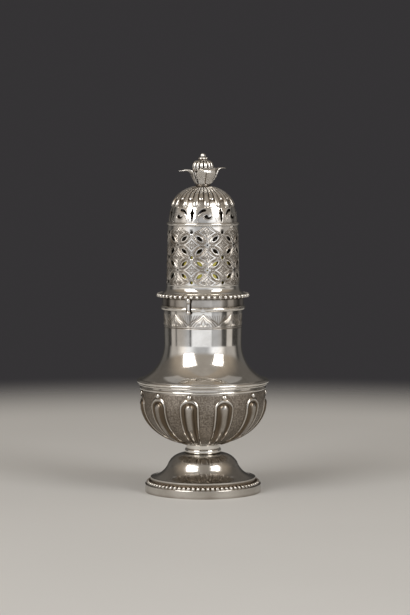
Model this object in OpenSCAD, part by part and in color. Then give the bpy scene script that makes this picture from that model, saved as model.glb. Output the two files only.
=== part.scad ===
// Silver sugar caster: a footed, gadrooned vessel with a pierced cover held by a bayonet.
// Millimetres. Z is up, the foot stands on z = 0, the axis of the caster is the Z axis.
// The front is at -Y. Angles named "azimuth" are taken from the front, positive to the right (+X).

/* [Sheet] */
// Wall of the raised sheet
sheet_t = 0.9; // [0.7:0.1:1.4]

/* [Foot] */
// Diameter of the foot over its plain band
foot_d = 68.8; // [60:0.2:76]
// Height of the plain band
foot_rim_h = 5; // [3.5:0.1:7]
// Thickness of the upright band
foot_rim_t = 1.6; // [1.2:0.1:2.4]
// Thickness of the ledge on top of the band
foot_ledge_t = 1.2; // [0.8:0.1:2]
// Height of the bell from the ledge to its flat top
foot_dome_h = 17.6; // [15:0.2:24]
// Diameter of the bell's flat top
foot_top_d = 22.4; // [20:0.2:26]
// Radius of the rounded shoulder
foot_shoulder_round = 10.5; // [8:0.1:12]
// Radius of the hollow sweep from the shoulder to the lip
foot_sweep_r = 12.5; // [11:0.1:16]
// Height of the upright lip behind the beads
foot_lip_h = 3.7; // [2.8:0.1:4.6]

/* [Bead wires] */
// Diameter of one bead
bead_d = 2.2; // [1.6:0.1:2.6]
// Number of beads round the foot
foot_bead_count = 72; // [48:1:84]
// Number of beads round the cover
cover_bead_count = 48; // [36:1:64]
// Thickness of the strip that carries the beads
bead_strip_t = 0.6; // [0.4:0.1:0.9]
// Gap between the foot's bead strip and the edge of the band
bead_edge = 0.8; // [0.4:0.1:1.2]

/* [Stem] */
// Height of the stem between foot and bowl
stem_h = 6.4; // [4.6:0.1:9]
// Diameter of the stem where it meets the bowl
stem_top_d = 21.8; // [19.4:0.2:24]
// Diameter over the stem ring
stem_ring_d = 21.6; // [19.4:0.2:24]
// Height of the stem ring
stem_ring_h = 3.2; // [2.4:0.1:3.8]
// How far the core stands back from the ring
stem_waist = 0.9; // [0.6:0.1:1.6]

/* [Bowl] */
// Diameter of the bowl at its widest, without the gadroons
bowl_d = 73.2; // [66:0.2:80]
// Diameter of the flat bottom of the bowl
bowl_base_d = 25; // [24.2:0.2:30]
// Depth of the bowl below its widest place
bowl_drop = 25; // [20:0.2:32]
// Height of the upright wall above the widest place
bowl_wall_h = 7; // [6:0.1:10]

/* [Gadroons] */
// Number of gadroons round the bowl
gadroon_count = 11; // [8:1:14]
// Width of a gadroon near its head, in degrees round the axis
gadroon_deg = 17.6; // [12:0.2:20]
// Azimuth of the gadroon nearest the front
gadroon_azimuth = -12.7; // [-20:0.1:20]
// Relief of the lobe in the middle of a gadroon
gadroon_relief = 0.95; // [0.6:0.05:1.4]
// Relief of the raised border of a gadroon
gadroon_border = 0.6; // [0.3:0.05:0.9]
// Height of a gadroon's head above the widest place of the bowl
gadroon_head = 3.6; // [2:0.1:4]
// Diameter of the pearl above a gadroon
pearl_d = 2; // [1.2:0.1:2.2]

/* [Bowl moulding] */
// Height of the moulding
moulding_h = 6; // [5.4:0.1:8]
// Diameter over the lip at the edge of the shoulder
lip_roll_d = 78.2; // [76.6:0.2:80]
// Thickness of the lip
lip_roll_t = 2; // [1.6:0.1:2.6]
// Diameter over the thin roll under the lip
middle_roll_d = 76.2; // [75:0.2:76.4]
// Thickness of the thin roll
middle_roll_t = 1.2; // [0.9:0.1:1.4]
// Diameter over the lower roll
lower_roll_d = 74.8; // [74.2:0.2:76]
// Thickness of the lower roll
lower_roll_t = 1.5; // [1.2:0.1:2]

/* [Neck] */
// Height of shoulder and neck together
neck_h = 41.2; // [34:0.2:50]
// Diameter of the neck at its narrowest
neck_d = 45.6; // [44:0.2:46.4]
// Diameter of the neck at its upper end
neck_top_d = 46.4; // [45.8:0.2:47]
// Radius of the hollow sweep from neck to shoulder
neck_sweep_r = 22.8; // [19:0.2:28]

/* [Rim and bayonet] */
// Height of the plain band on the neck
band_h = 6.8; // [5.6:0.1:9]
// Diameter of the plain band
band_d = 48; // [47.4:0.1:48.6]
// Diameter over the half-round bayonet ring
ring_d = 50.2; // [49.6:0.1:50.6]
// Height of the bayonet ring
ring_h = 2.4; // [1.8:0.1:2.8]
// Number of hooked lugs on the cover
lug_count = 2; // [2:1:4]
// Azimuth of the first lug
lug_azimuth = -19.4; // [-40:0.1:-9]
// Width of a lug
lug_w = 2.6; // [2:0.1:4.6]
// Thickness of a lug's strap
lug_t = 1.2; // [0.8:0.1:1.3]
// Thickness of the hook at the foot of a lug
lug_hook_t = 1.3; // [0.9:0.1:1.8]
// Width of the pointed mark cut in the ring at the front
index_w = 3.8; // [2:0.1:5]
// Clearance of the lug all round
lug_clear = 0.3; // [0.2:0.05:0.4]

/* [Inner sleeve] */
// Outer diameter of the sleeve's tube
sleeve_d = 39.8; // [38:0.1:40]
// Wall of the sleeve
sleeve_t = 0.7; // [0.5:0.1:1]
// Height of the tube above its flange
sleeve_h = 25; // [18:0.5:32]
// Diameter of the flange that rests on the band
sleeve_flange_d = 47; // [45.6:0.2:47.2]
// Thickness of that flange
sleeve_flange_t = 0.8; // [0.6:0.1:1.2]
// Depth of the skirt inside the band
sleeve_skirt_h = 6.4; // [4:0.2:8]
// Clearance of the skirt inside the band
sleeve_clear = 0.08; // [0.05:0.01:0.15]

/* [Cover base] */
// Height of the moulded base of the cover
flange_h = 7.2; // [6.6:0.1:9]
// Diameter of the base inside its beads
flange_d = 51.2; // [50.8:0.2:53]
// Thickness of the base at its edge
flange_edge_t = 1.8; // [1.7:0.1:2.4]
// Height of the small fillet at the top of the base
fillet_h = 1.2; // [0.8:0.1:1.6]
// Clearance of the base round the sleeve
flange_clear = 0.2; // [0.15:0.05:0.4]

/* [Pierced cylinder] */
// Height of the pierced wall
cylinder_h = 34.6; // [30:0.2:42]
// Diameter of the wall at its foot
cylinder_d = 43; // [42.6:0.1:44]
// Diameter of the wall at its top
cylinder_top_d = 41.5; // [41.3:0.1:43]
// Number of repeats of the piercing round the wall
pierce_count = 7; // [6:1:8]
// Azimuth of the flower nearest the front
flower_azimuth = 7.2; // [-20:0.1:20]
// Height of the lowest row of round holes above the foot of the wall
pierce_start = 1.9; // [1.6:0.1:3]
// Height between neighbouring rows of the pattern
pierce_pitch = 7.3; // [6:0.1:7.5]
// Length of a petal hole
petal_l = 4.6; // [3.4:0.1:5]
// Width of a petal hole
petal_w = 2.1; // [1.4:0.1:2.4]
// Diameter of the round holes between the flowers
round_hole_d = 2; // [1.4:0.1:2.4]
// Diameter of the hole in the middle of a flower
heart_hole_d = 1; // [0.7:0.1:1.4]

/* [Dome] */
// Height of the flat moulding under the dome
dome_rim_h = 2; // [1.4:0.1:3]
// Diameter of that moulding
dome_rim_d = 43.2; // [42.6:0.1:45]
// Height of the pierced gallery
gallery_h = 8.9; // [8.4:0.1:11]
// Diameter of the gallery at its foot
gallery_d = 40.6; // [40:0.1:41]
// Bow of the gallery's wall out of a straight line
gallery_bow = 0.21; // [0.1:0.01:0.4]
// Diameter where the gallery meets the fluted cap
cap_d = 37.6; // [36.6:0.1:38.6]
// Height of the fluted cap
cap_h = 12.1; // [10:0.1:15]
// Diameter of the cap's flat top
cap_top_d = 9.4; // [9:0.1:11]
// Drop from the cap's lower edge to the middle of its curve
cap_center_drop = 3.5; // [2:0.1:6]
// Thickness of the cap
cap_t = 1.1; // [0.9:0.1:1.6]
// Number of long flutes, with a short one between each two
flute_count = 16; // [10:1:18]
// Azimuth of the long flute nearest the front
flute_azimuth = 7.4; // [-11:0.1:11]
// Depth of a flute as a share of its width
flute_depth = 0.16; // [0.08:0.01:0.2]
// Number of repeats of the gallery's piercing
spear_count = 7; // [5:1:8]
// Azimuth of the spear nearest the front
spear_azimuth = -18.5; // [-25:0.1:25]
// Height of a spear
spear_h = 6.8; // [5:0.1:7]
// Width of a spear and of its cross bar's thickness
spear_w = 1.15; // [0.8:0.05:1.5]
// Width of a spear's cross bar
spear_bar = 2.8; // [1.8:0.1:3.4]
// Radius of the brow arc on each side of a spear
brow_r = 4.1; // [3:0.1:4.2]
// Thickness of the brow arc
brow_t = 0.95; // [0.6:0.05:1.2]
// Diameter of the comma between two spears
comma_d = 1.6; // [1.1:0.1:2]

/* [Finial] */
// Height of the finial's collar
finial_collar_h = 1.4; // [1:0.1:2]
// Diameter of the finial's collar
finial_collar_d = 8.9; // [8.8:0.1:10]
// Height of the cup
cup_h = 7.3; // [6:0.1:9]
// Diameter of the cup at its foot
cup_d = 6.6; // [5.6:0.1:6.8]
// Diameter of the cup at its mouth
cup_top_d = 9.6; // [8.4:0.1:10]
// Number of curled leaves round the cup
leaf_count = 4; // [3:1:5]
// Azimuth of the leaf nearest the front
leaf_azimuth = 13; // [-45:1:45]
// Distance of a leaf's tip from the axis
leaf_reach = 14.8; // [11:0.1:16]
// Half width of a leaf at its widest
leaf_half_w = 3.7; // [2.4:0.1:4]
// Thickness of a leaf
leaf_t = 0.7; // [0.5:0.1:1]
// Height of the bud
bud_h = 6.3; // [5:0.1:8]
// Diameter of the bud
bud_d = 12.1; // [10.4:0.1:13]
// Number of lobes round the bud
bud_lobes = 12; // [8:1:14]
// Diameter of a berry above the bud
berry_d = 1.5; // [1:0.1:1.55]
// Number of berries
berry_count = 6; // [4:1:6]
// Diameter of the knob at the tip
tip_d = 2.8; // [2:0.1:3.4]
// Diameter of the pin that carries bud, berries and knob
tip_pin_d = 1.3; // [1:0.1:1.4]
// Diameter of the screw that holds the finial
stud_d = 2.5; // [2:0.1:3]
// Length of the screw inside the cup
stud_grip = 4.6; // [3:0.1:4.8]
// Width of the square nut under the dome
nut_w = 6; // [5:0.1:6.2]
// Height of the nut
nut_h = 2.2; // [1.6:0.1:3]
// Clearance of screws and pins in their holes
pin_clear = 0.06; // [0.04:0.01:0.12]

/* [Hidden] */
$fn = 96;

// Heights of the seats, from the foot up
z_ledge = foot_rim_h;
z_foot_top = z_ledge + foot_dome_h;
z_bowl = z_foot_top + stem_h;
z_wide = z_bowl + bowl_drop;
z_moulding = z_wide + bowl_wall_h;
z_shoulder = z_moulding + moulding_h;
z_band = z_shoulder + neck_h;
z_mouth = z_band + band_h;
z_cover = z_mouth + sleeve_flange_t;
z_cylinder = z_cover + flange_h;
z_dome_rim = z_cylinder + cylinder_h;
z_gallery = z_dome_rim + dome_rim_h;
z_cap = z_gallery + gallery_h;
z_cap_top = z_cap + cap_h;
z_cup = z_cap_top + finial_collar_h;
z_bud = z_cup + cup_h;
z_bud_top = z_bud + bud_h;

// Radii that several pieces share
foot_r = foot_d / 2;
bead_r = bead_d / 2;
foot_bead_ring_r = foot_r - bead_edge - bead_r;
foot_lip_r = foot_bead_ring_r - bead_r - 0.3;
foot_lip_w = 1.8;
z_lip = z_ledge + foot_lip_h;
shoulder_at = [foot_top_d / 2, z_foot_top - foot_shoulder_round];
stem_r = stem_ring_d / 2 - stem_waist;
bowl_r = bowl_d / 2;
bowl_in_r = bowl_r - sheet_t;
// Upright half axis of the bowl's ellipse, from its two known places
bowl_axis = bowl_drop / sqrt(1 - pow(bowl_base_d / bowl_d, 2));
shoulder_r = bowl_r + 0.3;
neck_r = neck_d / 2;
neck_top_r = neck_top_d / 2;
band_r = band_d / 2;
band_in_r = neck_top_r - sheet_t;
ring_r = ring_d / 2;
lug_in_r = ring_r + lug_clear;
hook_in_r = band_r + lug_clear;
sleeve_r = sleeve_d / 2;
flange_r = flange_d / 2;
flange_in_r = sleeve_r + flange_clear;
cylinder_r = cylinder_d / 2;
cylinder_top_r = cylinder_top_d / 2;
cover_bead_ring_r = flange_r + bead_strip_t + 0.2;
gallery_r = gallery_d / 2;
cap_r = cap_d / 2;
cap_top_r = cap_top_d / 2;
pin_r = tip_pin_d / 2;
stud_r = stud_d / 2;

// Point at a radius, azimuth and height
function at(r, az, z) = [r * sin(az), -r * cos(az), z];
function mix(a, b, t) = a + (b - a) * t;
function bump(x) = max(0, 1 - x * x);

// Repeats its child round the axis
module around(n, first) {
    for (i = [0 : n - 1]) rotate([0, 0, first + i * 360 / n]) children();
}

// Closed solid between two surfaces given over a grid of u and v, both from 0 to 1.
// With ring = true the grid closes on itself in v.
module between(rows, cols, over, under, ring = false) {
    n = ring ? cols : cols + 1;
    all = (rows + 1) * n;
    points = concat(
        [for (i = [0 : rows], j = [0 : n - 1]) over(i / rows, j / cols)],
        [for (i = [0 : rows], j = [0 : n - 1]) under(i / rows, j / cols)]
    );
    faces = concat(
        [for (i = [0 : rows - 1], j = [0 : cols - 1]) let (
            a = i * n + j, b = i * n + (j + 1) % n, c = a + n, d = b + n)
            each [[a, b, d], [a, d, c]]],
        [for (i = [0 : rows - 1], j = [0 : cols - 1]) let (
            a = all + i * n + j, b = all + i * n + (j + 1) % n, c = a + n, d = b + n)
            each [[a, d, b], [a, c, d]]],
        [for (j = [0 : cols - 1]) let (
            a = j, b = (j + 1) % n, c = all + a, d = all + b)
            each [[a, d, b], [a, c, d]]],
        [for (j = [0 : cols - 1]) let (
            a = rows * n + j, b = rows * n + (j + 1) % n, c = all + a, d = all + b)
            each [[a, b, d], [a, d, c]]],
        ring ? [] : [for (i = [0 : rows - 1]) let (
            a = i * n, b = a + n, c = all + a, d = all + b)
            each [[a, b, d], [a, d, c]]],
        ring ? [] : [for (i = [0 : rows - 1]) let (
            a = i * n + cols, b = a + n, c = all + a, d = all + b)
            each [[a, d, b], [a, c, d]]]
    );
    polyhedron(points, faces, convexity = 6);
}

// Foot

// Plain upright band with a ledge turned in at its top
module foot_rim() {
    round_r = 0.5;
    color("silver") rotate_extrude() difference() {
        union() {
            square([foot_r - round_r, foot_rim_h]);
            square([foot_r, foot_rim_h - round_r]);
            translate([foot_r - round_r, foot_rim_h - round_r]) circle(round_r);
        }
        translate([-1, -1]) square([foot_r - foot_rim_t + 1, foot_rim_h - foot_ledge_t + 1]);
        translate([-1, -1]) square([foot_lip_r - foot_lip_w + 1, foot_rim_h + 2]);
    }
}

// Half-sunk beads on a flat strip
module foot_beads() {
    color("silver") union() {
        translate([0, 0, z_ledge]) difference() {
            cylinder(r = foot_bead_ring_r + bead_r - 0.1, h = bead_strip_t);
            translate([0, 0, -1]) cylinder(r = foot_bead_ring_r - bead_r + 0.1, h = bead_strip_t + 2);
        }
        around(foot_bead_count, 0)
            translate([foot_bead_ring_r, 0, z_ledge + bead_strip_t]) difference() {
                sphere(bead_r);
                translate([-bead_d, -bead_d, -bead_d - 0.3]) cube([bead_d * 2, bead_d * 2, bead_d]);
            }
    }
}

// Centre of the hollow sweep, which starts at the lip and runs smoothly into the shoulder
function sweep_at() = let (
    both = foot_shoulder_round + foot_sweep_r,
    way = [foot_lip_r, z_lip] - shoulder_at,
    far = norm(way),
    along = (both * both - foot_sweep_r * foot_sweep_r + far * far) / (2 * far),
    across = sqrt(max(0, both * both - along * along)))
    shoulder_at + (way * along + [-way[1], way[0]] * across) / far;

// Section of the bell, drawn in by the sheet for the inside
module foot_bell(inset) {
    melt = 0.02;
    sweep = sweep_at();
    sweep_r = foot_sweep_r + inset;
    round_r = foot_shoulder_round - inset;
    turn = shoulder_at + (sweep - shoulder_at) * round_r / (foot_shoulder_round + foot_sweep_r);
    top = z_foot_top - inset;
    side = foot_lip_r - inset;
    lip = sweep[1] - sqrt(max(0, pow(sweep_r, 2) - pow(sweep[0] - side, 2)));
    difference() {
        polygon([
            [0, z_ledge], [side, z_ledge], [side, lip], sweep, turn, shoulder_at,
            [shoulder_at[0], top], [0, top]
        ]);
        translate(sweep) circle(sweep_r, $fn = 180);
    }
    intersection() {
        translate(shoulder_at - [0, melt]) circle(round_r + melt, $fn = 180);
        translate(shoulder_at - [1, 0]) square(foot_r);
    }
}

// Raised bell with an upright lip that is turned in on the ledge
module foot_dome() {
    color("silver") rotate_extrude() union() {
        difference() {
            foot_bell(0);
            translate([0, -0.01]) foot_bell(sheet_t);
        }
        translate([foot_lip_r - foot_lip_w, z_ledge]) square([foot_lip_w, sheet_t]);
    }
}

// Stem

// Drum: a plain core that sweeps out under the bowl
module stem() {
    sweep = max(0.2, stem_top_d / 2 - stem_r);
    edge = 0.4;
    color("silver") rotate_extrude() difference() {
        union() {
            translate([0, z_foot_top]) square([stem_r, stem_h]);
            translate([0, z_bowl - sweep - edge]) square([stem_r + sweep, sweep + edge]);
        }
        translate([stem_r + sweep, z_bowl - sweep - edge]) circle(sweep);
    }
}

// Barrel-shaped ring at the foot of the stem
module stem_ring() {
    barrel = stem_ring_h * 0.75;
    color("silver") rotate_extrude() intersection() {
        translate([stem_r, z_foot_top]) square([stem_ring_d, stem_ring_h]);
        translate([stem_ring_d / 2 - barrel, z_foot_top + stem_ring_h / 2]) circle(barrel);
    }
}

// Bowl

// Section of the bowl's wall: upright above its widest place, an ellipse below
function bowl_end(inset) = asin((bowl_drop - inset) / (bowl_axis - inset));
function bowl_line(phi, inset) = let (a = bowl_r - inset, b = bowl_axis - inset)
    phi < 0 ? [a, z_wide - b * phi * PI / 180] : [a * cos(phi), z_wide - b * sin(phi)];
// The same wall, moved out along its normal
function bowl_over(phi, out) = let (
    p = bowl_line(phi, 0),
    n = phi < 0 ? [1, 0] : [bowl_axis * cos(phi), -bowl_r * sin(phi)])
    p + out * n / norm(n);

module bowl_section(inset) {
    steps = 28;
    lip = z_moulding + (inset > 0 ? 1 : 0);
    polygon(concat(
        [[0, z_bowl + inset]],
        [for (i = [steps : -1 : 0]) bowl_line(bowl_end(inset) * i / steps, inset)],
        [[bowl_r - inset, lip], [0, lip]]
    ));
}

// Closed sugar bowl
module bowl() {
    color("silver") rotate_extrude() difference() {
        bowl_section(0);
        bowl_section(sheet_t);
    }
}

// Half width of a gadroon along its length: a round head, then a long taper
function gadroon_half(u) = let (
    head = 0.16,
    full = gadroon_deg / 2 * mix(1, 0.85, pow(u, 1.6)))
    full * (u < head ? max(0.16, sqrt(1 - pow(1 - u / head, 2))) : 1);
// Relief across a gadroon: lobe in the middle, groove, raised border
function gadroon_height(u, s) = let (fade = min(1, 0.35 + u * 4) * min(1, 0.3 + (1 - u) * 4))
    0.14 + fade * (gadroon_relief * sqrt(bump(s / 0.6)) + gadroon_border * bump((abs(s) - 0.85) / 0.2));

// Lobes with a border, each on the wall of the bowl.
// Their backs stand off the wall by a hair, so that flat facets stay clear of its curve.
module gadroons() {
    seat = bowl_r * 0.002;
    first = -gadroon_head / bowl_axis * 180 / PI;
    last = bowl_end(0) - 3;
    marks = [-1, -0.85, -0.68, -0.5, -0.26, 0, 0.26, 0.5, 0.68, 0.85, 1];
    over = function (u, v) let (
        s = marks[round(v * 10)],
        phi = mix(first, last, u),
        p = bowl_over(phi, seat + gadroon_height(u, s)))
        at(p[0], s * gadroon_half(u), p[1]);
    under = function (u, v) let (
        s = marks[round(v * 10)],
        p = bowl_over(mix(first, last, u), seat))
        at(p[0], s * gadroon_half(u), p[1]);
    color("silver") around(gadroon_count, gadroon_azimuth) between(12, 10, over, under);
}

// One pearl above each gadroon, its back filed flat against the upright wall
module gadroon_pearls() {
    head_z = z_wide + gadroon_head + pearl_d / 2 + 0.25;
    color("silver") around(gadroon_count, gadroon_azimuth)
        translate([0, -bowl_r - 0.02, head_z]) difference() {
            translate([0, -0.25, 0]) sphere(pearl_d / 2);
            translate([-pearl_d, 0, -pearl_d]) cube(pearl_d * 2);
        }
}

// Section of a roll, with the web that ties it to the wall of the bowl
module roll(middle, t) {
    translate(middle) circle(t / 2);
    translate([bowl_in_r, middle[1] - t / 2]) square([max(sheet_t, middle[0] - bowl_in_r), t]);
}

// Wide lip with a thin roll under it, a hollow and a lower roll, at the join of bowl and shoulder
module bowl_moulding() {
    drop = 0.2;
    overlap = 0.1;
    low = [lower_roll_d / 2 - lower_roll_t / 2, z_moulding + lower_roll_t / 2 + drop / 2];
    high = [lip_roll_d / 2 - lip_roll_t / 2, z_shoulder - lip_roll_t / 2 - drop];
    middle = [middle_roll_d / 2 - middle_roll_t / 2, high[1] - (lip_roll_t + middle_roll_t) / 2 + overlap];
    color("silver") rotate_extrude() difference() {
        union() {
            translate([bowl_in_r, z_moulding]) square([bowl_r - bowl_in_r, moulding_h]);
            translate([bowl_in_r, z_shoulder - lip_roll_t / 2])
                square([shoulder_r - bowl_in_r, lip_roll_t / 2]);
            roll(low, lower_roll_t);
            roll(middle, middle_roll_t);
            roll(high, lip_roll_t);
        }
        translate([0, z_moulding - 1]) square([bowl_in_r, moulding_h + 2]);
    }
}

// Neck

// Section of shoulder and neck
module neck_section(inset) {
    sweep_x = neck_r + neck_sweep_r;
    sweep_z = z_shoulder + sqrt(pow(neck_sweep_r, 2) - pow(sweep_x - shoulder_r, 2));
    low = z_shoulder - (inset > 0 ? 1 : 0);
    high = z_band + (inset > 0 ? 1 : 0);
    difference() {
        polygon([
            [0, low], [shoulder_r, low], [shoulder_r, sweep_z],
            [neck_r - inset, sweep_z], [neck_top_r - inset, high], [0, high]
        ]);
        translate([sweep_x, sweep_z]) circle(neck_sweep_r + inset, $fn = 180);
    }
}

// Concave shoulder and neck in one sheet
module neck() {
    color("silver") rotate_extrude() difference() {
        neck_section(0);
        neck_section(sheet_t);
    }
}

// Plain collar on the end of the neck
module rim_band() {
    color("silver") translate([0, 0, z_band]) difference() {
        cylinder(r = band_r, h = band_h);
        translate([0, 0, -1]) cylinder(r = band_in_r, h = band_h + 2);
    }
}

// Half-round ring that the lugs hook under, with an entry notch for each lug and a pointed mark
module bayonet_ring() {
    mid = ring_r - ring_h / 2;
    notch = lug_w + 2 * lug_clear + 0.2;
    color("silver") difference() {
        rotate_extrude() difference() {
            translate([mid, z_band + ring_h / 2]) circle(ring_h / 2);
            translate([0, z_band - 1]) square([band_r, ring_h + 2]);
        }
        around(lug_count, lug_azimuth)
            translate([-notch / 2, -ring_r - 1, z_band - 1]) cube([notch, ring_r - band_r + 2, ring_h + 2]);
        translate([0, -band_r - (ring_r - band_r) * 0.35, z_band]) rotate([90, 0, 0]) linear_extrude(3)
            polygon([[-index_w / 2, -0.1], [index_w / 2, -0.1], [0, ring_h * 0.9]]);
    }
}

// Inner sleeve

// Tube with a flange that rests on the band and a skirt that centres it
module inner_sleeve() {
    skirt_r = band_in_r - sleeve_clear;
    inner_r = sleeve_r - sleeve_t;
    color("goldenrod") rotate_extrude() union() {
        translate([inner_r, z_mouth]) square([sleeve_flange_d / 2 - inner_r, sleeve_flange_t]);
        translate([inner_r, z_mouth]) square([sleeve_t, sleeve_h + sleeve_flange_t]);
        translate([skirt_r - sleeve_t, z_mouth - sleeve_skirt_h]) square([sleeve_t, sleeve_skirt_h + 0.1]);
    }
}

// Cover

// Moulded base: a flat edge, a hollow sweep and a small fillet under the wall
module cover_flange() {
    edge = z_cover + flange_edge_t;
    sweep = z_cylinder - fillet_h - edge;
    fillet_r = cylinder_r + 0.5;
    color("silver") rotate_extrude() difference() {
        union() {
            translate([flange_in_r, z_cover]) square([flange_r - flange_in_r, flange_edge_t]);
            translate([flange_in_r, z_cover])
                square([cylinder_r + sweep - flange_in_r, edge + sweep - z_cover]);
            translate([flange_in_r, z_cylinder - fillet_h])
                square([fillet_r - fillet_h / 2 - flange_in_r, fillet_h]);
            translate([fillet_r - fillet_h / 2, z_cylinder - fillet_h / 2]) circle(fillet_h / 2);
        }
        translate([cylinder_r + sweep, edge + sweep]) circle(sweep);
        translate([flange_r, z_cover - 1]) square([sweep + 4, sweep + flange_edge_t + 1]);
    }
}

// Half-sunk beads on a strip round the edge of the base
module cover_beads() {
    mid = z_cover + flange_edge_t / 2;
    color("silver") union() {
        translate([0, 0, z_cover + 0.1]) difference() {
            cylinder(r = flange_r + bead_strip_t, h = flange_edge_t - 0.2);
            translate([0, 0, -1]) cylinder(r = flange_r, h = flange_edge_t + 2);
        }
        around(cover_bead_count, 0) translate([cover_bead_ring_r, 0, mid]) difference() {
            sphere(bead_r);
            translate([-bead_d - (cover_bead_ring_r - flange_r) + 0.3, -bead_d, -bead_d])
                cube([bead_d, bead_d * 2, bead_d * 2]);
        }
    }
}

// Hooks that hang from the base outside the ring and turn in under it
module bayonet_lugs() {
    out_r = lug_in_r + lug_t;
    top = z_cover;
    drop = z_cover - 0.5;
    hook_top = z_band - lug_clear;
    hook = hook_top - lug_hook_t;
    color("silver") around(lug_count, lug_azimuth)
        rotate([90, 0, 270]) translate([0, 0, -lug_w / 2]) linear_extrude(lug_w) polygon([
            [hook_in_r, top], [flange_r - 0.1, top], [flange_r - 0.1, drop], [out_r, drop],
            [out_r, hook + 0.5], [out_r - 0.5, hook], [hook_in_r, hook], [hook_in_r, hook_top],
            [lug_in_r, hook_top], [lug_in_r, drop - 0.7], [hook_in_r, drop - 0.7]
        ]);
}

// Pointed oval between two arcs, l long and w wide
module lens(l, w) {
    r = (l * l / 4 + w * w / 4) / w;
    intersection() {
        translate([0, r - w / 2]) circle(r);
        translate([0, w / 2 - r]) circle(r);
    }
}

// Cuts a flat outline straight through a wall of radius r at an azimuth and height
module through(r, az, z) {
    rotate([0, 0, az]) translate([0, -r + 3, z]) rotate([90, 0, 0]) linear_extrude(6) children();
}

// Pierced wall: flowers of four petals in a diagonal lattice, with round holes between
module pierced_cylinder() {
    step = 360 / pierce_count;
    mid_r = (cylinder_r + cylinder_top_r) / 2;
    lean = atan2(pierce_pitch, mid_r * step / 2 * PI / 180);
    row_z = function (k) z_cylinder + pierce_start + k * pierce_pitch;
    color("silver") difference() {
        translate([0, 0, z_cylinder]) difference() {
            cylinder(r1 = cylinder_r, r2 = cylinder_top_r, h = cylinder_h);
            translate([0, 0, -0.001])
                cylinder(r1 = cylinder_r - sheet_t, r2 = cylinder_top_r - sheet_t, h = cylinder_h + 0.002);
        }
        for (i = [0 : pierce_count - 1]) let (az = flower_azimuth + i * step) {
            for (k = [0, 2, 4]) through(mid_r, az + step / 2, row_z(k)) circle(d = round_hole_d);
            for (k = [1, 3]) {
                through(mid_r, az, row_z(k)) circle(d = heart_hole_d);
                for (side = [-1, 1], up = [-1, 1])
                    through(mid_r, az + side * step / 4, row_z(k) + up * pierce_pitch / 2)
                        rotate(side * up * lean) lens(petal_l, petal_w);
            }
        }
    }
}

// Flat moulding with a rounded edge
module dome_rim() {
    inner_r = cylinder_top_r - sheet_t;
    roll = dome_rim_h * 0.45;
    color("silver") rotate_extrude() union() {
        translate([inner_r, z_dome_rim]) square([gallery_r + 0.2 - inner_r, dome_rim_h]);
        translate([inner_r, z_gallery - roll * 2]) square([dome_rim_d / 2 - roll - inner_r, roll * 2]);
        translate([dome_rim_d / 2 - roll, z_gallery - roll]) circle(roll);
    }
}

// Brow arc: a crescent that rises from the spear and levels out away from it
module brow(side) {
    mirror([side < 0 ? 1 : 0, 0]) translate([spear_bar / 2 + 0.7, 0]) intersection() {
        difference() {
            translate([brow_r, 0]) circle(brow_r);
            translate([brow_r + brow_t * 0.15, -brow_t * 0.2]) circle(brow_r - brow_t * 0.8);
        }
        translate([0, brow_r * 0.28]) square([brow_r, brow_r]);
    }
}

// Section of the gallery's bowed wall, an arc through its foot and its upper edge
module gallery_section() {
    low = [gallery_r, z_gallery];
    chord = [cap_r, z_cap] - low;
    out = [chord[1], -chord[0]] / norm(chord);
    arc_r = (pow(norm(chord) / 2, 2) + pow(gallery_bow, 2)) / (2 * gallery_bow);
    intersection() {
        translate(low + chord / 2 - out * (arc_r - gallery_bow)) difference() {
            circle(arc_r, $fn = 360);
            circle(arc_r - sheet_t, $fn = 360);
        }
        translate([cap_top_r, z_gallery]) square([gallery_r + cap_r, gallery_h]);
    }
}

// Pierced lower wall of the dome
module dome_gallery() {
    step = 360 / spear_count;
    mid_r = (gallery_r + cap_r) / 2;
    mid_z = z_gallery + gallery_h * 0.52;
    color("silver") difference() {
        rotate_extrude() gallery_section();
        for (i = [0 : spear_count - 1]) let (az = spear_azimuth + i * step) {
            through(mid_r, az, mid_z) union() {
                rotate(90) lens(spear_h, spear_w);
                translate([0, spear_h * 0.12]) lens(spear_bar, spear_w);
            }
            for (side = [-1, 1])
                through(mid_r, az + side * step * 0.08, mid_z - spear_h * 0.18) brow(side);
            through(mid_r, az + step / 2, mid_z - spear_h * 0.26) union() {
                circle(d = comma_d);
                translate([comma_d * 0.75, comma_d * 0.3]) rotate(22) lens(comma_d * 1.5, comma_d * 0.45);
            }
        }
    }
}

// Ellipse of the cap through its lower edge and its flat top
cap_k = (pow(cap_center_drop + cap_h, 2) - pow(cap_center_drop, 2)) / (pow(cap_r, 2) - pow(cap_top_r, 2));
cap_axis_r = sqrt(pow(cap_r, 2) + pow(cap_center_drop, 2) / cap_k);
cap_axis_z = cap_axis_r * sqrt(cap_k);
cap_low = asin(cap_center_drop / cap_axis_z);
cap_high = asin((cap_center_drop + cap_h) / cap_axis_z);
function cap_line(phi, inset) = [
    (cap_axis_r - inset) * cos(phi),
    z_cap - cap_center_drop + (cap_axis_z - inset) * sin(phi)
];

cap_rows = 9;
stud_hole_r = stud_r + pin_clear;
// Top of the nut, where its corners meet the inside of the cap
cap_inside = cap_line(mix(cap_low, cap_high, (cap_rows - 1) / cap_rows), cap_t);
nut_corner = (nut_w / sqrt(2) - stud_hole_r) / (cap_inside[0] - stud_hole_r);
z_nut_top = mix(z_cap_top - cap_t, min(cap_inside[1], z_cap_top - cap_t), max(0, nut_corner)) - 0.03;

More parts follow.
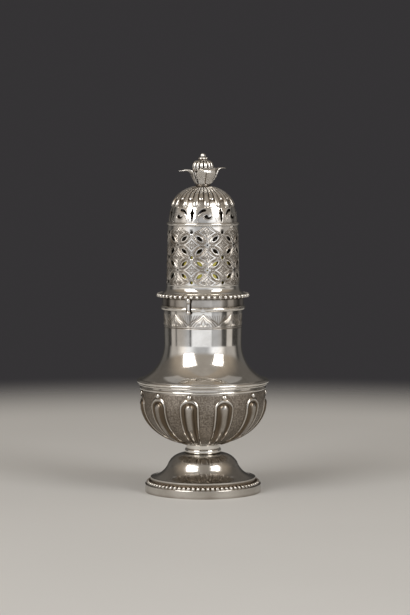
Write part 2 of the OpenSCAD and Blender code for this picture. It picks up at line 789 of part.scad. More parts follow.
// Fluted cap: long and short flutes by turns, running up to the finial
module dome_cap() {
    cells = 4;
    cols = flute_count * 2 * cells;
    rows = cap_rows;
    short_from = 0.34;
    phi_at = function (u) mix(cap_low, cap_high, u);
    over = function (u, v) let (
        phi = phi_at(u),
        p = cap_line(phi, 0),
        k = round(v * cols),
        long = floor((k + cells / 2) / cells) % 2 == 0,
        across = ((k + cells / 2) % cells) / cells * 2 - 1,
        start = long ? 0.02 : short_from,
        rise = u <= start ? 0 : min(1, sqrt((u - start) / 0.12)),
        neighbour = u <= short_from ? 0 : min(1, sqrt((u - short_from) / 0.12)),
        pitch = 2 * PI * p[0] / (flute_count * 2),
        deep = pitch * flute_depth * (u >= 1 ? 0.4 : 1),
        cut = long ? min(1, sqrt(max(0, u - 0.02) / 0.1)) * (1 - sqrt(bump(across)))
                   : mix(u <= 0.02 ? 0 : min(1, sqrt((u - 0.02) / 0.1)), 1 - sqrt(bump(across)), rise),
        r = p[0] - deep * cut)
        at(r, flute_azimuth + v * 360, p[1]);
    under = function (u, v) let (p = cap_line(mix(cap_low, cap_high, u), cap_t))
        at(u >= 1 ? stud_hole_r + 0.1 : min(p[0], mix(cap_r - sheet_t, p[0], min(1, u * 8))),
           flute_azimuth + v * 360,
           u >= 1 ? z_cap_top - cap_t : u <= 0 ? z_cap : min(p[1], z_cap_top - cap_t));
    color("silver") between(rows, cols, over, under, ring = true);
}

// Finial

// Turned collar on the flat top of the dome
module finial_collar() {
    color("silver") rotate_extrude() difference() {
        union() {
            translate([0, z_cap_top]) square([finial_collar_d / 2 - finial_collar_h / 2, finial_collar_h]);
            translate([finial_collar_d / 2 - finial_collar_h / 2, z_cap_top + finial_collar_h / 2])
                circle(finial_collar_h / 2);
        }
        translate([-1, z_cap_top - 1]) square([stud_hole_r + 1, finial_collar_h + 2]);
    }
}

// Turned cup inside the leaves, with the screw below and the pin above
module finial_cup() {
    low = cup_d / 2;
    high = cup_top_d / 2;
    color("silver") difference() {
        rotate_extrude() difference() {
            translate([0, z_cup]) square([high, cup_h]);
            translate([low + cup_h * 2.6, z_cup]) circle(cup_h * 2.6, $fn = 180);
        }
        translate([0, 0, z_cup - 1]) cylinder(r = stud_hole_r, h = stud_grip + 1.2);
        translate([0, 0, z_bud - cup_h * 0.25]) cylinder(r = pin_r + pin_clear, h = cup_h);
    }
}

// Middle line of a leaf: up the cup, then curled out to the tip
function leaf_line(t) = let (
    a = [cup_d / 2 + leaf_t / 2 + 0.12, z_cup],
    b = [cup_d / 2 + leaf_t / 2 + 1.1, z_cup + cup_h * 0.62],
    c = [cup_top_d / 2 + 2.2, z_bud + cup_h * 0.5],
    d = [leaf_reach, z_bud + cup_h * 0.07],
    s = 1 - t)
    s * s * s * a + 3 * s * s * t * b + 3 * s * t * t * c + t * t * t * d;
function leaf_slope(t) = leaf_line(min(1, t + 0.02)) - leaf_line(max(0, t - 0.02));
// Half width of a leaf: clasping at the base, wide at the curl, pointed at the tip
function leaf_half(t) = mix(2.3, leaf_half_w, sin(min(1, t / 0.62) * 90)) * (t > 0.62
    ? max(0.12, sqrt(bump((t - 0.62) / 0.39))) : 1);

// Curled leaves with a midrib
module finial_leaves() {
    skin = function (u, v, side) let (
        s = v * 2 - 1,
        p = leaf_line(u),
        d = leaf_slope(u) / norm(leaf_slope(u)),
        rib = side > 0 ? 0.25 * bump(s / 0.3) : 0,
        fold = -0.5 * u * s * s,
        q = p + [d[1], -d[0]] * (side * leaf_t / 2 + rib) + [0, u <= 0 ? 0 : fold],
        half = leaf_half(u) / max(q[0], 4.2) * 180 / PI)
        at(q[0], s * half, u <= 0 ? z_cup : q[1]);
    over = function (u, v) skin(u, v, 1);
    under = function (u, v) skin(u, v, -1);
    color("silver") around(leaf_count, leaf_azimuth) between(14, 6, over, under);
}

// Lobed bud, pierced by the pin
module finial_bud() {
    cells = 4;
    cols = bud_lobes * cells;
    outline = function (u) let (
        phi = mix(-28, 74, u))
        [bud_d / 2 * cos(phi), z_bud + bud_h * (sin(phi) - sin(-28)) / (sin(74) - sin(-28))];
    over = function (u, v) let (
        p = outline(u),
        across = (round(v * cols) % cells) / cells * 2 - 1,
        deep = 0.09 * p[0] * (1 - sqrt(bump(across))))
        at(p[0] - deep, v * 360, p[1]);
    under = function (u, v) at(pin_r + pin_clear + 0.05, v * 360, outline(u)[1]);
    color("silver") between(8, cols, over, under, ring = true);
}

// Ring of berries on top of the bud
module finial_berries() {
    ring = max(pin_r + pin_clear + berry_d / 2, berry_d / 2 / sin(180 / berry_count) + 0.02);
    color("silver") around(berry_count, 0) translate([ring, 0, z_bud_top + berry_d / 2]) sphere(berry_d / 2);
}

// Knob on a pin that passes through the bud into the cup
module finial_tip() {
    foot = z_bud - cup_h * 0.25 + 0.2;
    knob = z_bud_top + berry_d + tip_d / 2 + 0.05;
    color("silver") union() {
        translate([0, 0, foot]) cylinder(r = pin_r, h = knob - foot);
        translate([0, 0, knob]) sphere(tip_d / 2);
    }
}

// Screw from the nut through the dome into the cup
module finial_stud() {
    low = z_nut_top - nut_h - 0.8;
    color("goldenrod") translate([0, 0, low]) cylinder(r = stud_r, h = z_cup + stud_grip - low);
}

// Square nut against the inside of the dome
module finial_nut() {
    color("goldenrod") translate([0, 0, z_nut_top - nut_h]) difference() {
        translate([-nut_w / 2, -nut_w / 2, 0]) cube([nut_w, nut_w, nut_h]);
        translate([0, 0, -1]) cylinder(r = stud_hole_r, h = nut_h + 2);
    }
}

foot_rim();
foot_beads();
foot_dome();
stem();
stem_ring();
bowl();
gadroons();
gadroon_pearls();
bowl_moulding();
neck();
rim_band();
bayonet_ring();
inner_sleeve();
cover_flange();
cover_beads();
bayonet_lugs();
pierced_cylinder();
dome_rim();
dome_gallery();
dome_cap();
finial_collar();
finial_cup();
finial_leaves();
finial_bud();
finial_berries();
finial_tip();
finial_stud();
finial_nut();
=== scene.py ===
"""Looks of a silver sugar caster: chased bowl, engraved neck, pierced and fluted cover.

Sizes are in millimetres unless a comment says otherwise. Z is up, the front is at -Y, and an
azimuth is in degrees from the front, positive to the right. The dark value of a place is
tarnish left on it and, in some places, painted shade: 0 is rubbed bright and 1 is dark.
"""

import math

import bmesh
import bpy
import numpy as np
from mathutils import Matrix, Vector
from mathutils.geometry import delaunay_2d_cdt


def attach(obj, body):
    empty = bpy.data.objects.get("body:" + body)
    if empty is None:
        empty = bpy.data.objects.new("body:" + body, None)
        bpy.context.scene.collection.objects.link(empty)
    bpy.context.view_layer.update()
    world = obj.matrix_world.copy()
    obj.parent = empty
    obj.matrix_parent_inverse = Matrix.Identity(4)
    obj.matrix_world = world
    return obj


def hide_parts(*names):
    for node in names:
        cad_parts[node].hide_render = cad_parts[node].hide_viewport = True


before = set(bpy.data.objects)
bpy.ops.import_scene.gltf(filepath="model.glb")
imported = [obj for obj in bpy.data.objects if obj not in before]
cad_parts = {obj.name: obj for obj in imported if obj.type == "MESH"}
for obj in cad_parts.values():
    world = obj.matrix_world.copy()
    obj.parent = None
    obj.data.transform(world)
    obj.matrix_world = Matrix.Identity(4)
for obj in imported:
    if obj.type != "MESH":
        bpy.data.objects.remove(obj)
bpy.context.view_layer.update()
scene = bpy.context.scene
MM = 0.001

# Heights of the seats
Z_BOWL, Z_WIDE, Z_MOULDING, Z_SHOULDER = 29.0, 54.0, 61.0, 67.0
Z_BAND, Z_COVER, Z_CYLINDER, Z_DOME_RIM, Z_GALLERY = 108.2, 115.8, 123.0, 157.6, 159.6
Z_CAP, Z_CAP_TOP, Z_CUP, Z_BUD = 168.5, 180.6, 182.0, 189.3
SHEET = 0.9
# Points this close are welded. Edges are sharp from an angle in degrees.
WELD, SHARP, SHARP_ENGRAVED, SHARP_CATCH, SHARP_LEAF = 0.002, 42, 14, 50, 60


# Geometry helpers

def polar(r, az, z):
    """Points at a radius, azimuth and height."""
    r, a, z = np.broadcast_arrays(r, np.radians(az), z)
    return np.stack([r * np.sin(a), -r * np.cos(a), z], -1)


def around(count, first=0.0):
    """Azimuths at even steps all round."""
    return first + np.arange(count) * 360 / count


def quads(rows, cols, close_rows=False, close_cols=True):
    """Faces of a grid of points, row by row."""
    i, j = np.meshgrid(
        np.arange(rows if close_rows else rows - 1),
        np.arange(cols if close_cols else cols - 1), indexing="ij")
    k, m = (i + 1) % rows, (j + 1) % cols
    corners = [i * cols + j, i * cols + m, k * cols + m, k * cols + j]
    return np.stack(corners, -1).reshape(-1, 4).tolist()


def capped(grid, *poles):
    """Points and faces of a grid closed round, with fans to a pole at each end."""
    rows, cols = grid.shape[:2]
    count, last = rows * cols, (rows - 1) * cols
    faces = quads(rows, cols)
    faces += [[count, i, (i + 1) % cols] for i in range(cols)]
    faces += [[count + 1, last + i, last + (i + 1) % cols] for i in range(cols)]
    return np.concatenate([grid.reshape(-1, 3), poles]), faces


def slab(top, bottom):
    """Points and faces of a closed slab between two equal grids of points."""
    rows, cols = top.shape[:2]
    count = rows * cols
    faces = quads(rows, cols, close_cols=False)
    faces += [[count + i for i in face] for face in faces]
    grid = np.arange(count).reshape(rows, cols)
    sides = [grid[0], grid[1:, -1], grid[-1, -2::-1], grid[-2:0:-1, 0]]
    border = np.concatenate(sides).tolist()
    faces += [[a, b, count + b, count + a] for a, b in zip(border, border[1:] + border[:1])]
    return np.concatenate([top.reshape(-1, 3), bottom.reshape(-1, 3)]), faces


def joined(parts):
    """Points, faces and values of several meshes as one."""
    points, faces, values, start = [], [], [], 0
    for p, f, v in parts:
        p = np.asarray(p).reshape(-1, 3)
        points.append(p)
        values.append(np.broadcast_to(v, len(p)))
        faces += [[i + start for i in face] for face in f]
        start += len(p)
    return np.concatenate(points), faces, np.concatenate(values)


def turned(points, az):
    """Points at the front, turned to an azimuth."""
    c, s = math.cos(math.radians(az)), math.sin(math.radians(az))
    return points @ np.array([[c, s, 0], [-s, c, 0], [0, 0, 1]])


def repeated(points, faces, values, azimuths):
    """A mesh at the front, turned to several azimuths, as one."""
    return joined([(turned(points, az), faces, values) for az in azimuths])


def ridge(x, middle=0.0, half=1.0):
    """Rounded rise to 1 at a middle, and 0 from a half width on."""
    return np.maximum(0, 1 - ((x - middle) / half) ** 2)


def step(x, low, high):
    """Smooth rise from 0 at low to 1 at high, which may be the smaller one."""
    t = np.clip((x - low) / (high - low), 0, 1)
    return t * t * (3 - 2 * t)


def length_along(path):
    """Distance of each point of a path from its start."""
    return np.concatenate([[0], np.cumsum(np.linalg.norm(np.diff(path, axis=0), axis=1))])


def raised(section, normal, relief, az):
    """Points of a turned surface with a relief along the normals of its section."""
    normal = normal / np.linalg.norm(normal, axis=1)[:, None]
    lifted = section[:, None] + relief[..., None] * normal[:, None]
    return polar(lifted[..., 0], az, lifted[..., 1])


def shown(name, data):
    """A new object in the scene."""
    made = bpy.data.objects.new(name, data)
    scene.collection.objects.link(made)
    return made


def piece(name, shape, material, body, nodes, sharp=SHARP, **values):
    """One mesh piece from points, faces and dark (tarnish, painted shade); values per point kept as
    attributes.
    """
    points, faces, values["tarnish_and_shade"] = shape
    mesh = bpy.data.meshes.new(name)
    mesh.from_pydata((np.asarray(points).reshape(-1, 3) * MM).tolist(), [], faces)
    for key, value in values.items():
        layer = mesh.attributes.new(key, "FLOAT", "POINT")
        layer.data.foreach_set("value", np.asarray(value, np.float32).ravel())
    bm = bmesh.new()
    bm.from_mesh(mesh)
    bmesh.ops.remove_doubles(bm, verts=bm.verts, dist=WELD * MM)
    bmesh.ops.recalc_face_normals(bm, faces=bm.faces)
    bm.to_mesh(mesh)
    bm.free()
    mesh.shade_smooth()
    mesh.set_sharp_from_angle(angle=math.radians(sharp))
    mesh.materials.append(material)
    made = shown(name, mesh)
    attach(made, body)
    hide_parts(*nodes)


# Materials

class Shade:
    """A node material or world, written as short expressions."""

    def __init__(self, name, world=False):
        self.made = (bpy.data.worlds if world else bpy.data.materials).new(name)
        self.made.use_nodes = True
        self.tree = self.made.node_tree
        self.shader = self.tree.nodes["Background" if world else "Principled BSDF"]
        self.place = self.node("ShaderNodeTexCoord").outputs["Generated" if world else "Object"]

    def node(self, kind, inputs=(), **settings):
        """A new node with settings, and with numbers or links on its inputs."""
        made = self.tree.nodes.new(kind)
        for key, value in settings.items():
            setattr(made, key, value)
        self.put(made, dict(inputs))
        return made

    def put(self, node, inputs):
        """Values on a node's inputs: a socket is linked, a number is set."""
        for key, value in inputs.items():
            if isinstance(value, bpy.types.NodeSocket):
                self.tree.links.new(value, node.inputs[key])
            else:
                node.inputs[key].default_value = value

    def math(self, operation, *values, clamp=False):
        made = self.node("ShaderNodeMath", enumerate(values), operation=operation, use_clamp=clamp)
        return made.outputs[0]

    def scaled(self, value, by, plus=0.0, clamp=False):
        return self.math("MULTIPLY_ADD", value, by, plus, clamp=clamp)

    def mix(self, share, a, b, **settings):
        a, b = ((*c, 1) if isinstance(c, tuple) else c for c in (a, b))
        inputs = {0: share, 6: a, 7: b}
        return self.node("ShaderNodeMix", inputs, data_type="RGBA", **settings).outputs[2]

    def noise(self, scale, detail, rough, stretch=None):
        """Noise of a scale per metre, from 0 to 1."""
        place = self.place
        if stretch:
            place = self.node("ShaderNodeMapping", {"Vector": place, "Scale": stretch}).outputs[0]
        inputs = {"Vector": place, "Scale": scale, "Detail": detail, "Roughness": rough}
        return self.node("ShaderNodeTexNoise", inputs).outputs["Fac"]

    def split(self):
        """The three coordinates of the place."""
        return self.node("ShaderNodeSeparateXYZ", {0: self.place}).outputs

    def ease(self, value, low, high, start=0.0, end=1.0):
        """Smooth change from one value to another between two limits."""
        inputs = {"Value": value, "From Min": low, "From Max": high, "To Min": start, "To Max": end}
        made = self.node("ShaderNodeMapRange", inputs, interpolation_type="SMOOTHSTEP")
        return made.outputs["Result"]

    def recess(self):
        """How far a place is closed in by its neighbours, from 0 to 1."""
        inputs = {"Distance": RECESS_REACH * MM}
        made = self.node("ShaderNodeAmbientOcclusion", inputs, samples=RECESS_SAMPLES)
        return self.scaled(made.outputs["AO"], -1.0, 1.0)

    def gaps(self, count):
        """1 between the beads of a row round the axis, 0 on each bead."""
        x, y, _ = self.split()
        share = self.scaled(self.math("ARCTAN2", y, x), count / (2 * math.pi))
        off = self.math("SUBTRACT", self.math("FRACT", share), 0.5)
        return self.scaled(self.math("ABSOLUTE", off), *BEAD_GAP, clamp=True)

    def value(self, name):
        """A value kept per point on the mesh, 0 where it has none."""
        return self.node("ShaderNodeAttribute", attribute_name=name).outputs["Fac"]

    def bumps(self, height):
        """Normals of a relief from a height in millimetres."""
        inputs = {"Strength": 1.0, "Distance": MM, "Height": height}
        return self.node("ShaderNodeBump", inputs).outputs[0]


# Noises: scale per metre, detail, roughness, stretch
CLOUD, SMUDGE, WAVES = (55, 4, 0.6), (260, 5, 0.65), (95, 1, 0.55)
HAIRLINES, GRAIN, PITS = (500, 2, 0.5, (1.0, 1.0, 14.0)), (1150, 3, 0.7), (2600, 2, 0.6)
WAVE_H, HAIRLINE_H, GRAIN_H, PIT_H = 0.016, 0.0005, 0.2, 0.06
# Shares of the tarnish and painted shade from the dark value and from the recesses, of the
# cloudy tarnish, and what the clouds leave clear
TARNISH_AND_SHADE_SHARE, RECESS_TARNISH_AND_SHADE, CLOUD_TARNISH, CLOUD_CLEAR = 0.85, 0.75, 0.8, 0.32
RECESS_REACH, RECESS_SAMPLES, BEAD_GAP = 1.8, 6, (-6.0, 1.6)
SMUDGE_ROUGH, SMUDGE_MIDDLE, TARNISH_AND_SHADE_ROUGH, MATT_ROUGH = 0.12, 0.04, 0.3, 0.24
MATT_SHARE, MATT_GRAIN, MATT_CLOUD = 0.9, (0.36, 0.66), (0.9, -0.2)
# Rubbed silver, and the dark it turns to where it is tarnished and where shade is painted
SILVER_CLEAN, SILVER_TARNISH_AND_SHADE = (0.88, 0.85, 0.80), (0.14, 0.107, 0.074)
MATT_LOW, MATT_HIGH = (0.11, 0.088, 0.067), (0.44, 0.39, 0.335)
# Another colour below a height, with a soft edge: tarnish and painted shade on the foot's lip
# behind its beads, and painted shadow on the gilt sleeve under the cover's beads
LIP_TARNISH_AND_SHADE, SLEEVE_PAINTED_SHADOW, LOW_COLOUR_EDGE = ((0.2, 0.16, 0.12), 7.5), ((0.10, 0.08, 0.06), Z_COVER), 0.8
# Beads in the rows on the foot and the cover; the gaps between them are painted dark, as tarnish
# and painted shade
FOOT_BEADS, COVER_BEADS = 72, 48


def metal(name, clean=SILVER_CLEAN, tarnish_and_shade_tone=SILVER_TARNISH_AND_SHADE, polish=0.09, haze_and_shade=0.0, beads=0,
          matted=False, low_colour=None):
    """Hand-worked metal with rubbed high places, tarnish left in the recesses, and painted shade.
    """
    s = Shade(name)
    cloud = s.noise(*CLOUD)
    smudge = s.noise(*SMUDGE)
    # The dark value per point is tarnish and, in some places, painted shade
    tarnish_and_shade = s.gaps(beads) if beads else s.value("tarnish_and_shade")
    # Ambient occlusion darkens the recesses: painted shade, which also stands for tarnish there
    kept = s.math("ADD", s.scaled(tarnish_and_shade, TARNISH_AND_SHADE_SHARE), s.scaled(s.recess(), RECESS_TARNISH_AND_SHADE))
    # Cloudy tarnish; on some parts it is raised to paint shade as well
    clouded = s.scaled(cloud, CLOUD_TARNISH, haze_and_shade - CLOUD_CLEAR)
    colour = s.mix(s.math("ADD", kept, clouded, clamp=True), clean, tarnish_and_shade_tone)
    # Below a height the colour changes: tarnish and painted shade on the foot's lip, painted shadow
    # on the sleeve
    if low_colour:
        under, z = low_colour
        above = s.ease(s.split()[2], z * MM, (z + LOW_COLOUR_EDGE) * MM)
        colour = s.mix(above, under, colour)
    smudged = s.scaled(smudge, SMUDGE_ROUGH, polish - SMUDGE_MIDDLE)
    rough = s.math("ADD", smudged, s.scaled(tarnish_and_shade, TARNISH_AND_SHADE_ROUGH))
    waves, hairlines = s.noise(*WAVES), s.noise(*HAIRLINES)
    height = s.math("ADD", s.scaled(waves, WAVE_H), s.scaled(hairlines, HAIRLINE_H))
    if matted:
        ground = s.value("ground")
        grain, pits = s.noise(*GRAIN), s.noise(*PITS)
        matt = s.mix(s.ease(grain, *MATT_GRAIN), MATT_LOW, MATT_HIGH)
        matt = s.mix(s.scaled(cloud, *MATT_CLOUD, clamp=True), matt, tarnish_and_shade_tone)
        colour = s.mix(s.scaled(ground, MATT_SHARE), colour, matt)
        rough = s.math("ADD", rough, s.scaled(ground, MATT_ROUGH))
        punched = s.math("ADD", s.scaled(grain, GRAIN_H), s.scaled(pits, PIT_H))
        height = s.math("ADD", height, s.math("MULTIPLY", punched, ground))
    s.put(s.shader, {"Base Color": colour, "Roughness": rough, "Metallic": 1.0,
                     "Normal": s.bumps(height)})
    return s.made


silver = metal("silver")
chased_silver = metal("chased_silver", haze_and_shade=0.28, matted=True)
leaf_silver = metal("leaf_silver", polish=0.12, haze_and_shade=0.02)
brass = metal("brass", (0.78, 0.60, 0.30), (0.35, 0.25, 0.12), polish=0.24)
FINISH = {
    "foot_rim": metal("foot_silver", haze_and_shade=0.3),
    "foot_dome": metal("bell_silver", polish=0.15, haze_and_shade=0.2, low_colour=LIP_TARNISH_AND_SHADE),
    "foot_beads": metal("foot_bead_silver", beads=FOOT_BEADS),
    # The band under the cover's flange is clouded darker: tarnish, and painted shade from the
    # flange
    "rim_band": metal("band_tarnish_and_shade_silver", polish=0.1, haze_and_shade=0.5),
    "inner_sleeve": metal("gilt", (0.62, 0.55, 0.14), (0.30, 0.24, 0.06), 0.2, low_colour=SLEEVE_PAINTED_SHADOW),
    "cover_beads": metal("cover_bead_silver", beads=COVER_BEADS),
    # The finial's collar under the leaves is clouded darker: tarnish, and painted shade from the
    # leaves
    "finial_collar": metal("collar_tarnish_and_shade_silver", polish=0.16, haze_and_shade=0.55),
    # The cup between the leaves is painted nearly black: painted shade in the gaps between the
    # leaves
    "finial_cup": metal("cup_painted_shade_silver", (0.16, 0.125, 0.09), (0.03, 0.024, 0.018), 0.3, 0.5),
    "finial_stud": brass,
    "finial_nut": brass,
}

for node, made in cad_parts.items():
    made.data.materials.clear()
    made.data.materials.append(FINISH.get(node, silver))


# Bowl

BOWL_R, BOWL_AXIS = 36.6, 26.6
UPRIGHT_ROWS, ROUND_ROWS, BOWL_IN_ROWS, LOBE_COLUMNS = 16, 92, 12, 64
GADROONS, GADROON_AZIMUTH, GADROON_HALF = 11, -12.7, 9.0
HEAD_TOP, HEAD_SQUASH, PEARL_Z = 58.2, 0.93, 59.4
# Radii where the tails run out, and shares of the half width over which the head turns
TAIL_R, HEAD_TURN = (12.4, 13.3), (0.15, 0.9)
# Across a gadroon, in half widths: lobe, border at the sides and what the head adds to it, and
# the middle and half width of the channel and of the groove
LOBE_HALF, BORDER_SIDE, BORDER_HEAD = 0.47, 0.10, 0.14
CHANNEL, GROOVE, GROOVE_STAIN = (0.63, 0.17), (1.06, 0.07), (1.06, 0.08)
LOBE_H, BORDER_H, BORDER_ROUND, CHANNEL_H, GROOVE_H = 1.35, 0.62, 0.7, -0.22, -0.14
LEAST_RELIEF = 0.2
# Where the tarnish, the painted shade on the lobes and the matted ground begin and end
HOLLOW_START, HOLLOW_END, LOBE_FLANK_SPAN, LOBE_END = (0.40, 0.50), (-0.08, 0.04), (0.12, 0.42), 0.5
LOWER_SHADE_Z, PEARL_STAIN = (55.5, 49.0), (1.75, 0.45)
GROUND_EDGE, GROUND_TOP, GROUND_PEARL = (1.0, 1.1), (60.8, 60.4), (1.4, 1.7)
HOLLOW_DARK, GROOVE_DARK, PEARL_DARK, GROUND_DARK = 0.95, 0.9, 0.9, 0.25
# Dark of the lobes: a little tarnish, painted shade on their flanks that leaves a bright line along
# each crest, and painted shade lower down the bowl
LOBE_DARK, LOBE_FLANK_SHADE, LOWER_PAINTED_SHADE = 0.1, 0.5, 0.3


def chased_bowl():
    """Bowl in one sheet with its bordered lobes raised from a matted ground."""
    columns = GADROONS * LOBE_COLUMNS
    az = around(columns)
    upright = np.linspace(-(Z_MOULDING - Z_WIDE) / BOWL_AXIS, 0, UPRIGHT_ROWS)[:-1]
    end = np.arcsin((Z_WIDE - Z_BOWL) / BOWL_AXIS)
    phi = np.concatenate([upright, np.linspace(0, end, ROUND_ROWS)])
    low = phi > 0
    r = np.where(low, BOWL_R * np.cos(phi), BOWL_R)
    z = Z_WIDE - BOWL_AXIS * np.where(low, np.sin(phi), phi)
    normal = np.stack([np.where(low, BOWL_AXIS * np.cos(phi), 1),
                       np.where(low, -BOWL_R * np.sin(phi), 0)], -1)
    section = np.stack([r, z], -1)

    pitch = 360 / GADROONS
    off = (az - GADROON_AZIMUTH + pitch / 2) % pitch - pitch / 2
    half = (r * np.radians(GADROON_HALF))[:, None]
    head = Z_MOULDING - HEAD_TOP + half[0]
    side = np.radians(off) * r[:, None]
    above = np.minimum(0, length_along(section) - head)[:, None] * HEAD_SQUASH
    q = np.hypot(side, above) / half
    size = LEAST_RELIEF + (1 - LEAST_RELIEF) * half / half[0]
    tail = step(r, *TAIL_R)[:, None]
    over = step(-above / half, *HEAD_TURN)
    border = BORDER_SIDE + BORDER_HEAD * over
    relief = LOBE_H * np.sqrt(ridge(q, 0, LOBE_HALF))
    relief = relief + BORDER_H * ridge(q, 1 - border, border) ** BORDER_ROUND
    relief = relief + CHANNEL_H * ridge(q, *CHANNEL) * (1 - over) + GROOVE_H * ridge(q, *GROOVE)
    outer = raised(section, normal, relief * size * tail, az)

    pearl = np.hypot(side, z[:, None] - PEARL_Z)
    hollow = step(q, *HOLLOW_START) * step(1 - 2 * border - q, *HOLLOW_END)
    dark = (HOLLOW_DARK * hollow + GROOVE_DARK * ridge(q, *GROOVE_STAIN)) * tail
    # Painted shade: the lobes darker lower down and on their flanks
    lobe = LOBE_DARK + LOWER_PAINTED_SHADE * step(z, *LOWER_SHADE_Z)[:, None]
    lobe = (lobe + LOBE_FLANK_SHADE * step(q, *LOBE_FLANK_SPAN)) * (q < LOBE_END)
    dark = np.maximum(dark, lobe * tail)
    dark = np.maximum(dark, GROUND_DARK * (q > 1))
    dark = np.maximum(dark, PEARL_DARK * ridge(pearl, *PEARL_STAIN))
    ground = step(q, *GROUND_EDGE) * tail * step(z, *GROUND_TOP)[:, None]
    ground = ground * step(pearl, *GROUND_PEARL)

    in_r, in_axis = BOWL_R - SHEET, BOWL_AXIS - SHEET
    phi_in = np.linspace(np.arcsin((Z_WIDE - Z_BOWL - SHEET) / in_axis), 0, BOWL_IN_ROWS)
    r_in = np.append(in_r * np.cos(phi_in), in_r)
    z_in = np.append(Z_WIDE - in_axis * np.sin(phi_in), Z_MOULDING)
    inner = polar(r_in[:, None], az, z_in[:, None])
    bowl = capped(np.concatenate([inner, outer]), [0, 0, Z_BOWL + SHEET], [0, 0, Z_BOWL])
    pad = np.zeros(len(inner) * columns)
    dark, ground = (np.concatenate([pad, value.ravel(), [0, 0]]) for value in (dark, ground))
    piece("chased_bowl", (*bowl, dark), chased_silver, "vessel", ["bowl", "gadroons"],
          ground=ground)


PEARL_R, PEARL_H, PEARL_ROWS, PEARL_COLUMNS = 1.45, 1.0, 14, 32
# Radius of the thin collar and its height over the bowl's wall, from its foot inside the wall
COLLAR_R, COLLAR_OUT = (1.6, 1.6, 1.48), (-0.3, 0.1, 0.22)
COLLAR_ROWS, COLLAR_DARK, PEARL_TOP_DARK = 5, 0.8, 0.1


def chased_pearls():
    """Flattened pearl in a thin collar over the head of each lobe."""
    turn = np.radians(np.linspace(0, 90, PEARL_ROWS))[:-1]
    r = np.concatenate([COLLAR_R, PEARL_R * np.cos(turn)])
    out = np.concatenate([COLLAR_OUT, COLLAR_OUT[-1] + PEARL_H * np.sin(turn)])
    a = np.radians(around(PEARL_COLUMNS))
    side, up = np.outer(r, np.cos(a)), np.outer(r, np.sin(a))
    ball = np.stack([side, 0 * side - BOWL_R - out[:, None], PEARL_Z + up], -1)
    ends = COLLAR_OUT[0], COLLAR_OUT[-1] + PEARL_H
    pearl = capped(ball, *([0, -BOWL_R - end, PEARL_Z] for end in ends))
    dark = np.where(np.arange(len(r)) < COLLAR_ROWS, COLLAR_DARK, PEARL_TOP_DARK)
    dark = np.append(np.repeat(dark, PEARL_COLUMNS), [COLLAR_DARK, 0.0])
    pearls = repeated(*pearl, dark, around(GADROONS, GADROON_AZIMUTH))
    piece("chased_pearls", pearls, silver, "vessel", ["gadroon_pearls"])


chased_bowl()
chased_pearls()


# Walls worked as a sheet: unrolled, cut, engraved, then bent round the axis

# Width, depth and least hole of the bevels. How far lines run past a repeat, and stay from its
# ends. Room round the lines without points of the grid, and reach of the search for depths.
BEVEL, BEVEL_DEEP, BEVEL_FROM, OVERLAP, MARGIN, ROOM, NEAR = 0.24, 0.05, 1.4, 3.0, 0.3, 0.4, 1.0
TINY, ON_EDGE, PRECISION = 1e-9, WELD / 10, 1e-5
# Dark of the engraved lines (tarnish), of the back face and cut edges (painted shade inside the
# wall, with tarnish) and of the rims
LINE_DARK, BACK_SHADE_AND_TARNISH, CUT_SHADE_AND_TARNISH, RIM_DARK = 1.1, 1.0, 0.9, 0.3


def bevelled(outline):
    """Whether a hole is wide enough for a bevel."""
    return np.ptp(outline[:, 0]) > BEVEL_FROM


def ring(outline):
    """A closed outline as a path that ends where it starts."""
    return np.vstack([outline, outline[:1]])


def sideways(tangent):
    """Unit vectors to the left of some directions."""
    left = np.stack([-tangent[:, 1], tangent[:, 0]], -1)
    return left / np.maximum(np.linalg.norm(left, axis=1), TINY)[:, None]


def grown(outline, by):
    """A hole's outline, moved out from its edge."""
    left = sideways(np.roll(outline, -1, axis=0) - np.roll(outline, 1, axis=0))
    x, z = outline.T
    inward = (x * np.roll(z, -1) - np.roll(x, -1) * z).sum() > 0
    return outline + left * (-by if inward else by)


def refined(outline, points):
    """A hole's outline with the points that the engraving adds on its edge."""
    path = []
    for a, b in zip(outline, np.roll(outline, -1, axis=0)):
        length = np.linalg.norm(b - a)
        way = (b - a) / length
        run = (points - a) @ way
        on = np.linalg.norm(points - a - np.outer(run, way), axis=1) < ON_EDGE
        on &= (run > WELD) & (run < length - WELD)
        path += [a, *points[on][np.argsort(run[on])]]
    return np.array(path)


def away(points, path):
    """Distance of points from a path."""
    a, d = path[:-1], np.diff(path, axis=0)
    t = ((points[:, None] - a) * d).sum(-1) / np.maximum((d * d).sum(-1), TINY)
    far = points[:, None] - a - np.clip(t, 0, 1)[..., None] * d
    return np.linalg.norm(far, axis=-1).min(1)


def within(x, z, outline):
    """Whether flat points lie inside a closed outline."""
    x, z = x[:, None], z[:, None]
    (ax, az), (bx, bz) = outline.T, np.roll(outline, -1, axis=0).T
    rise = np.where(bz == az, TINY, bz - az)
    return (((az > z) != (bz > z)) & (x < (bx - ax) * (z - az) / rise + ax)).sum(1) % 2 == 1


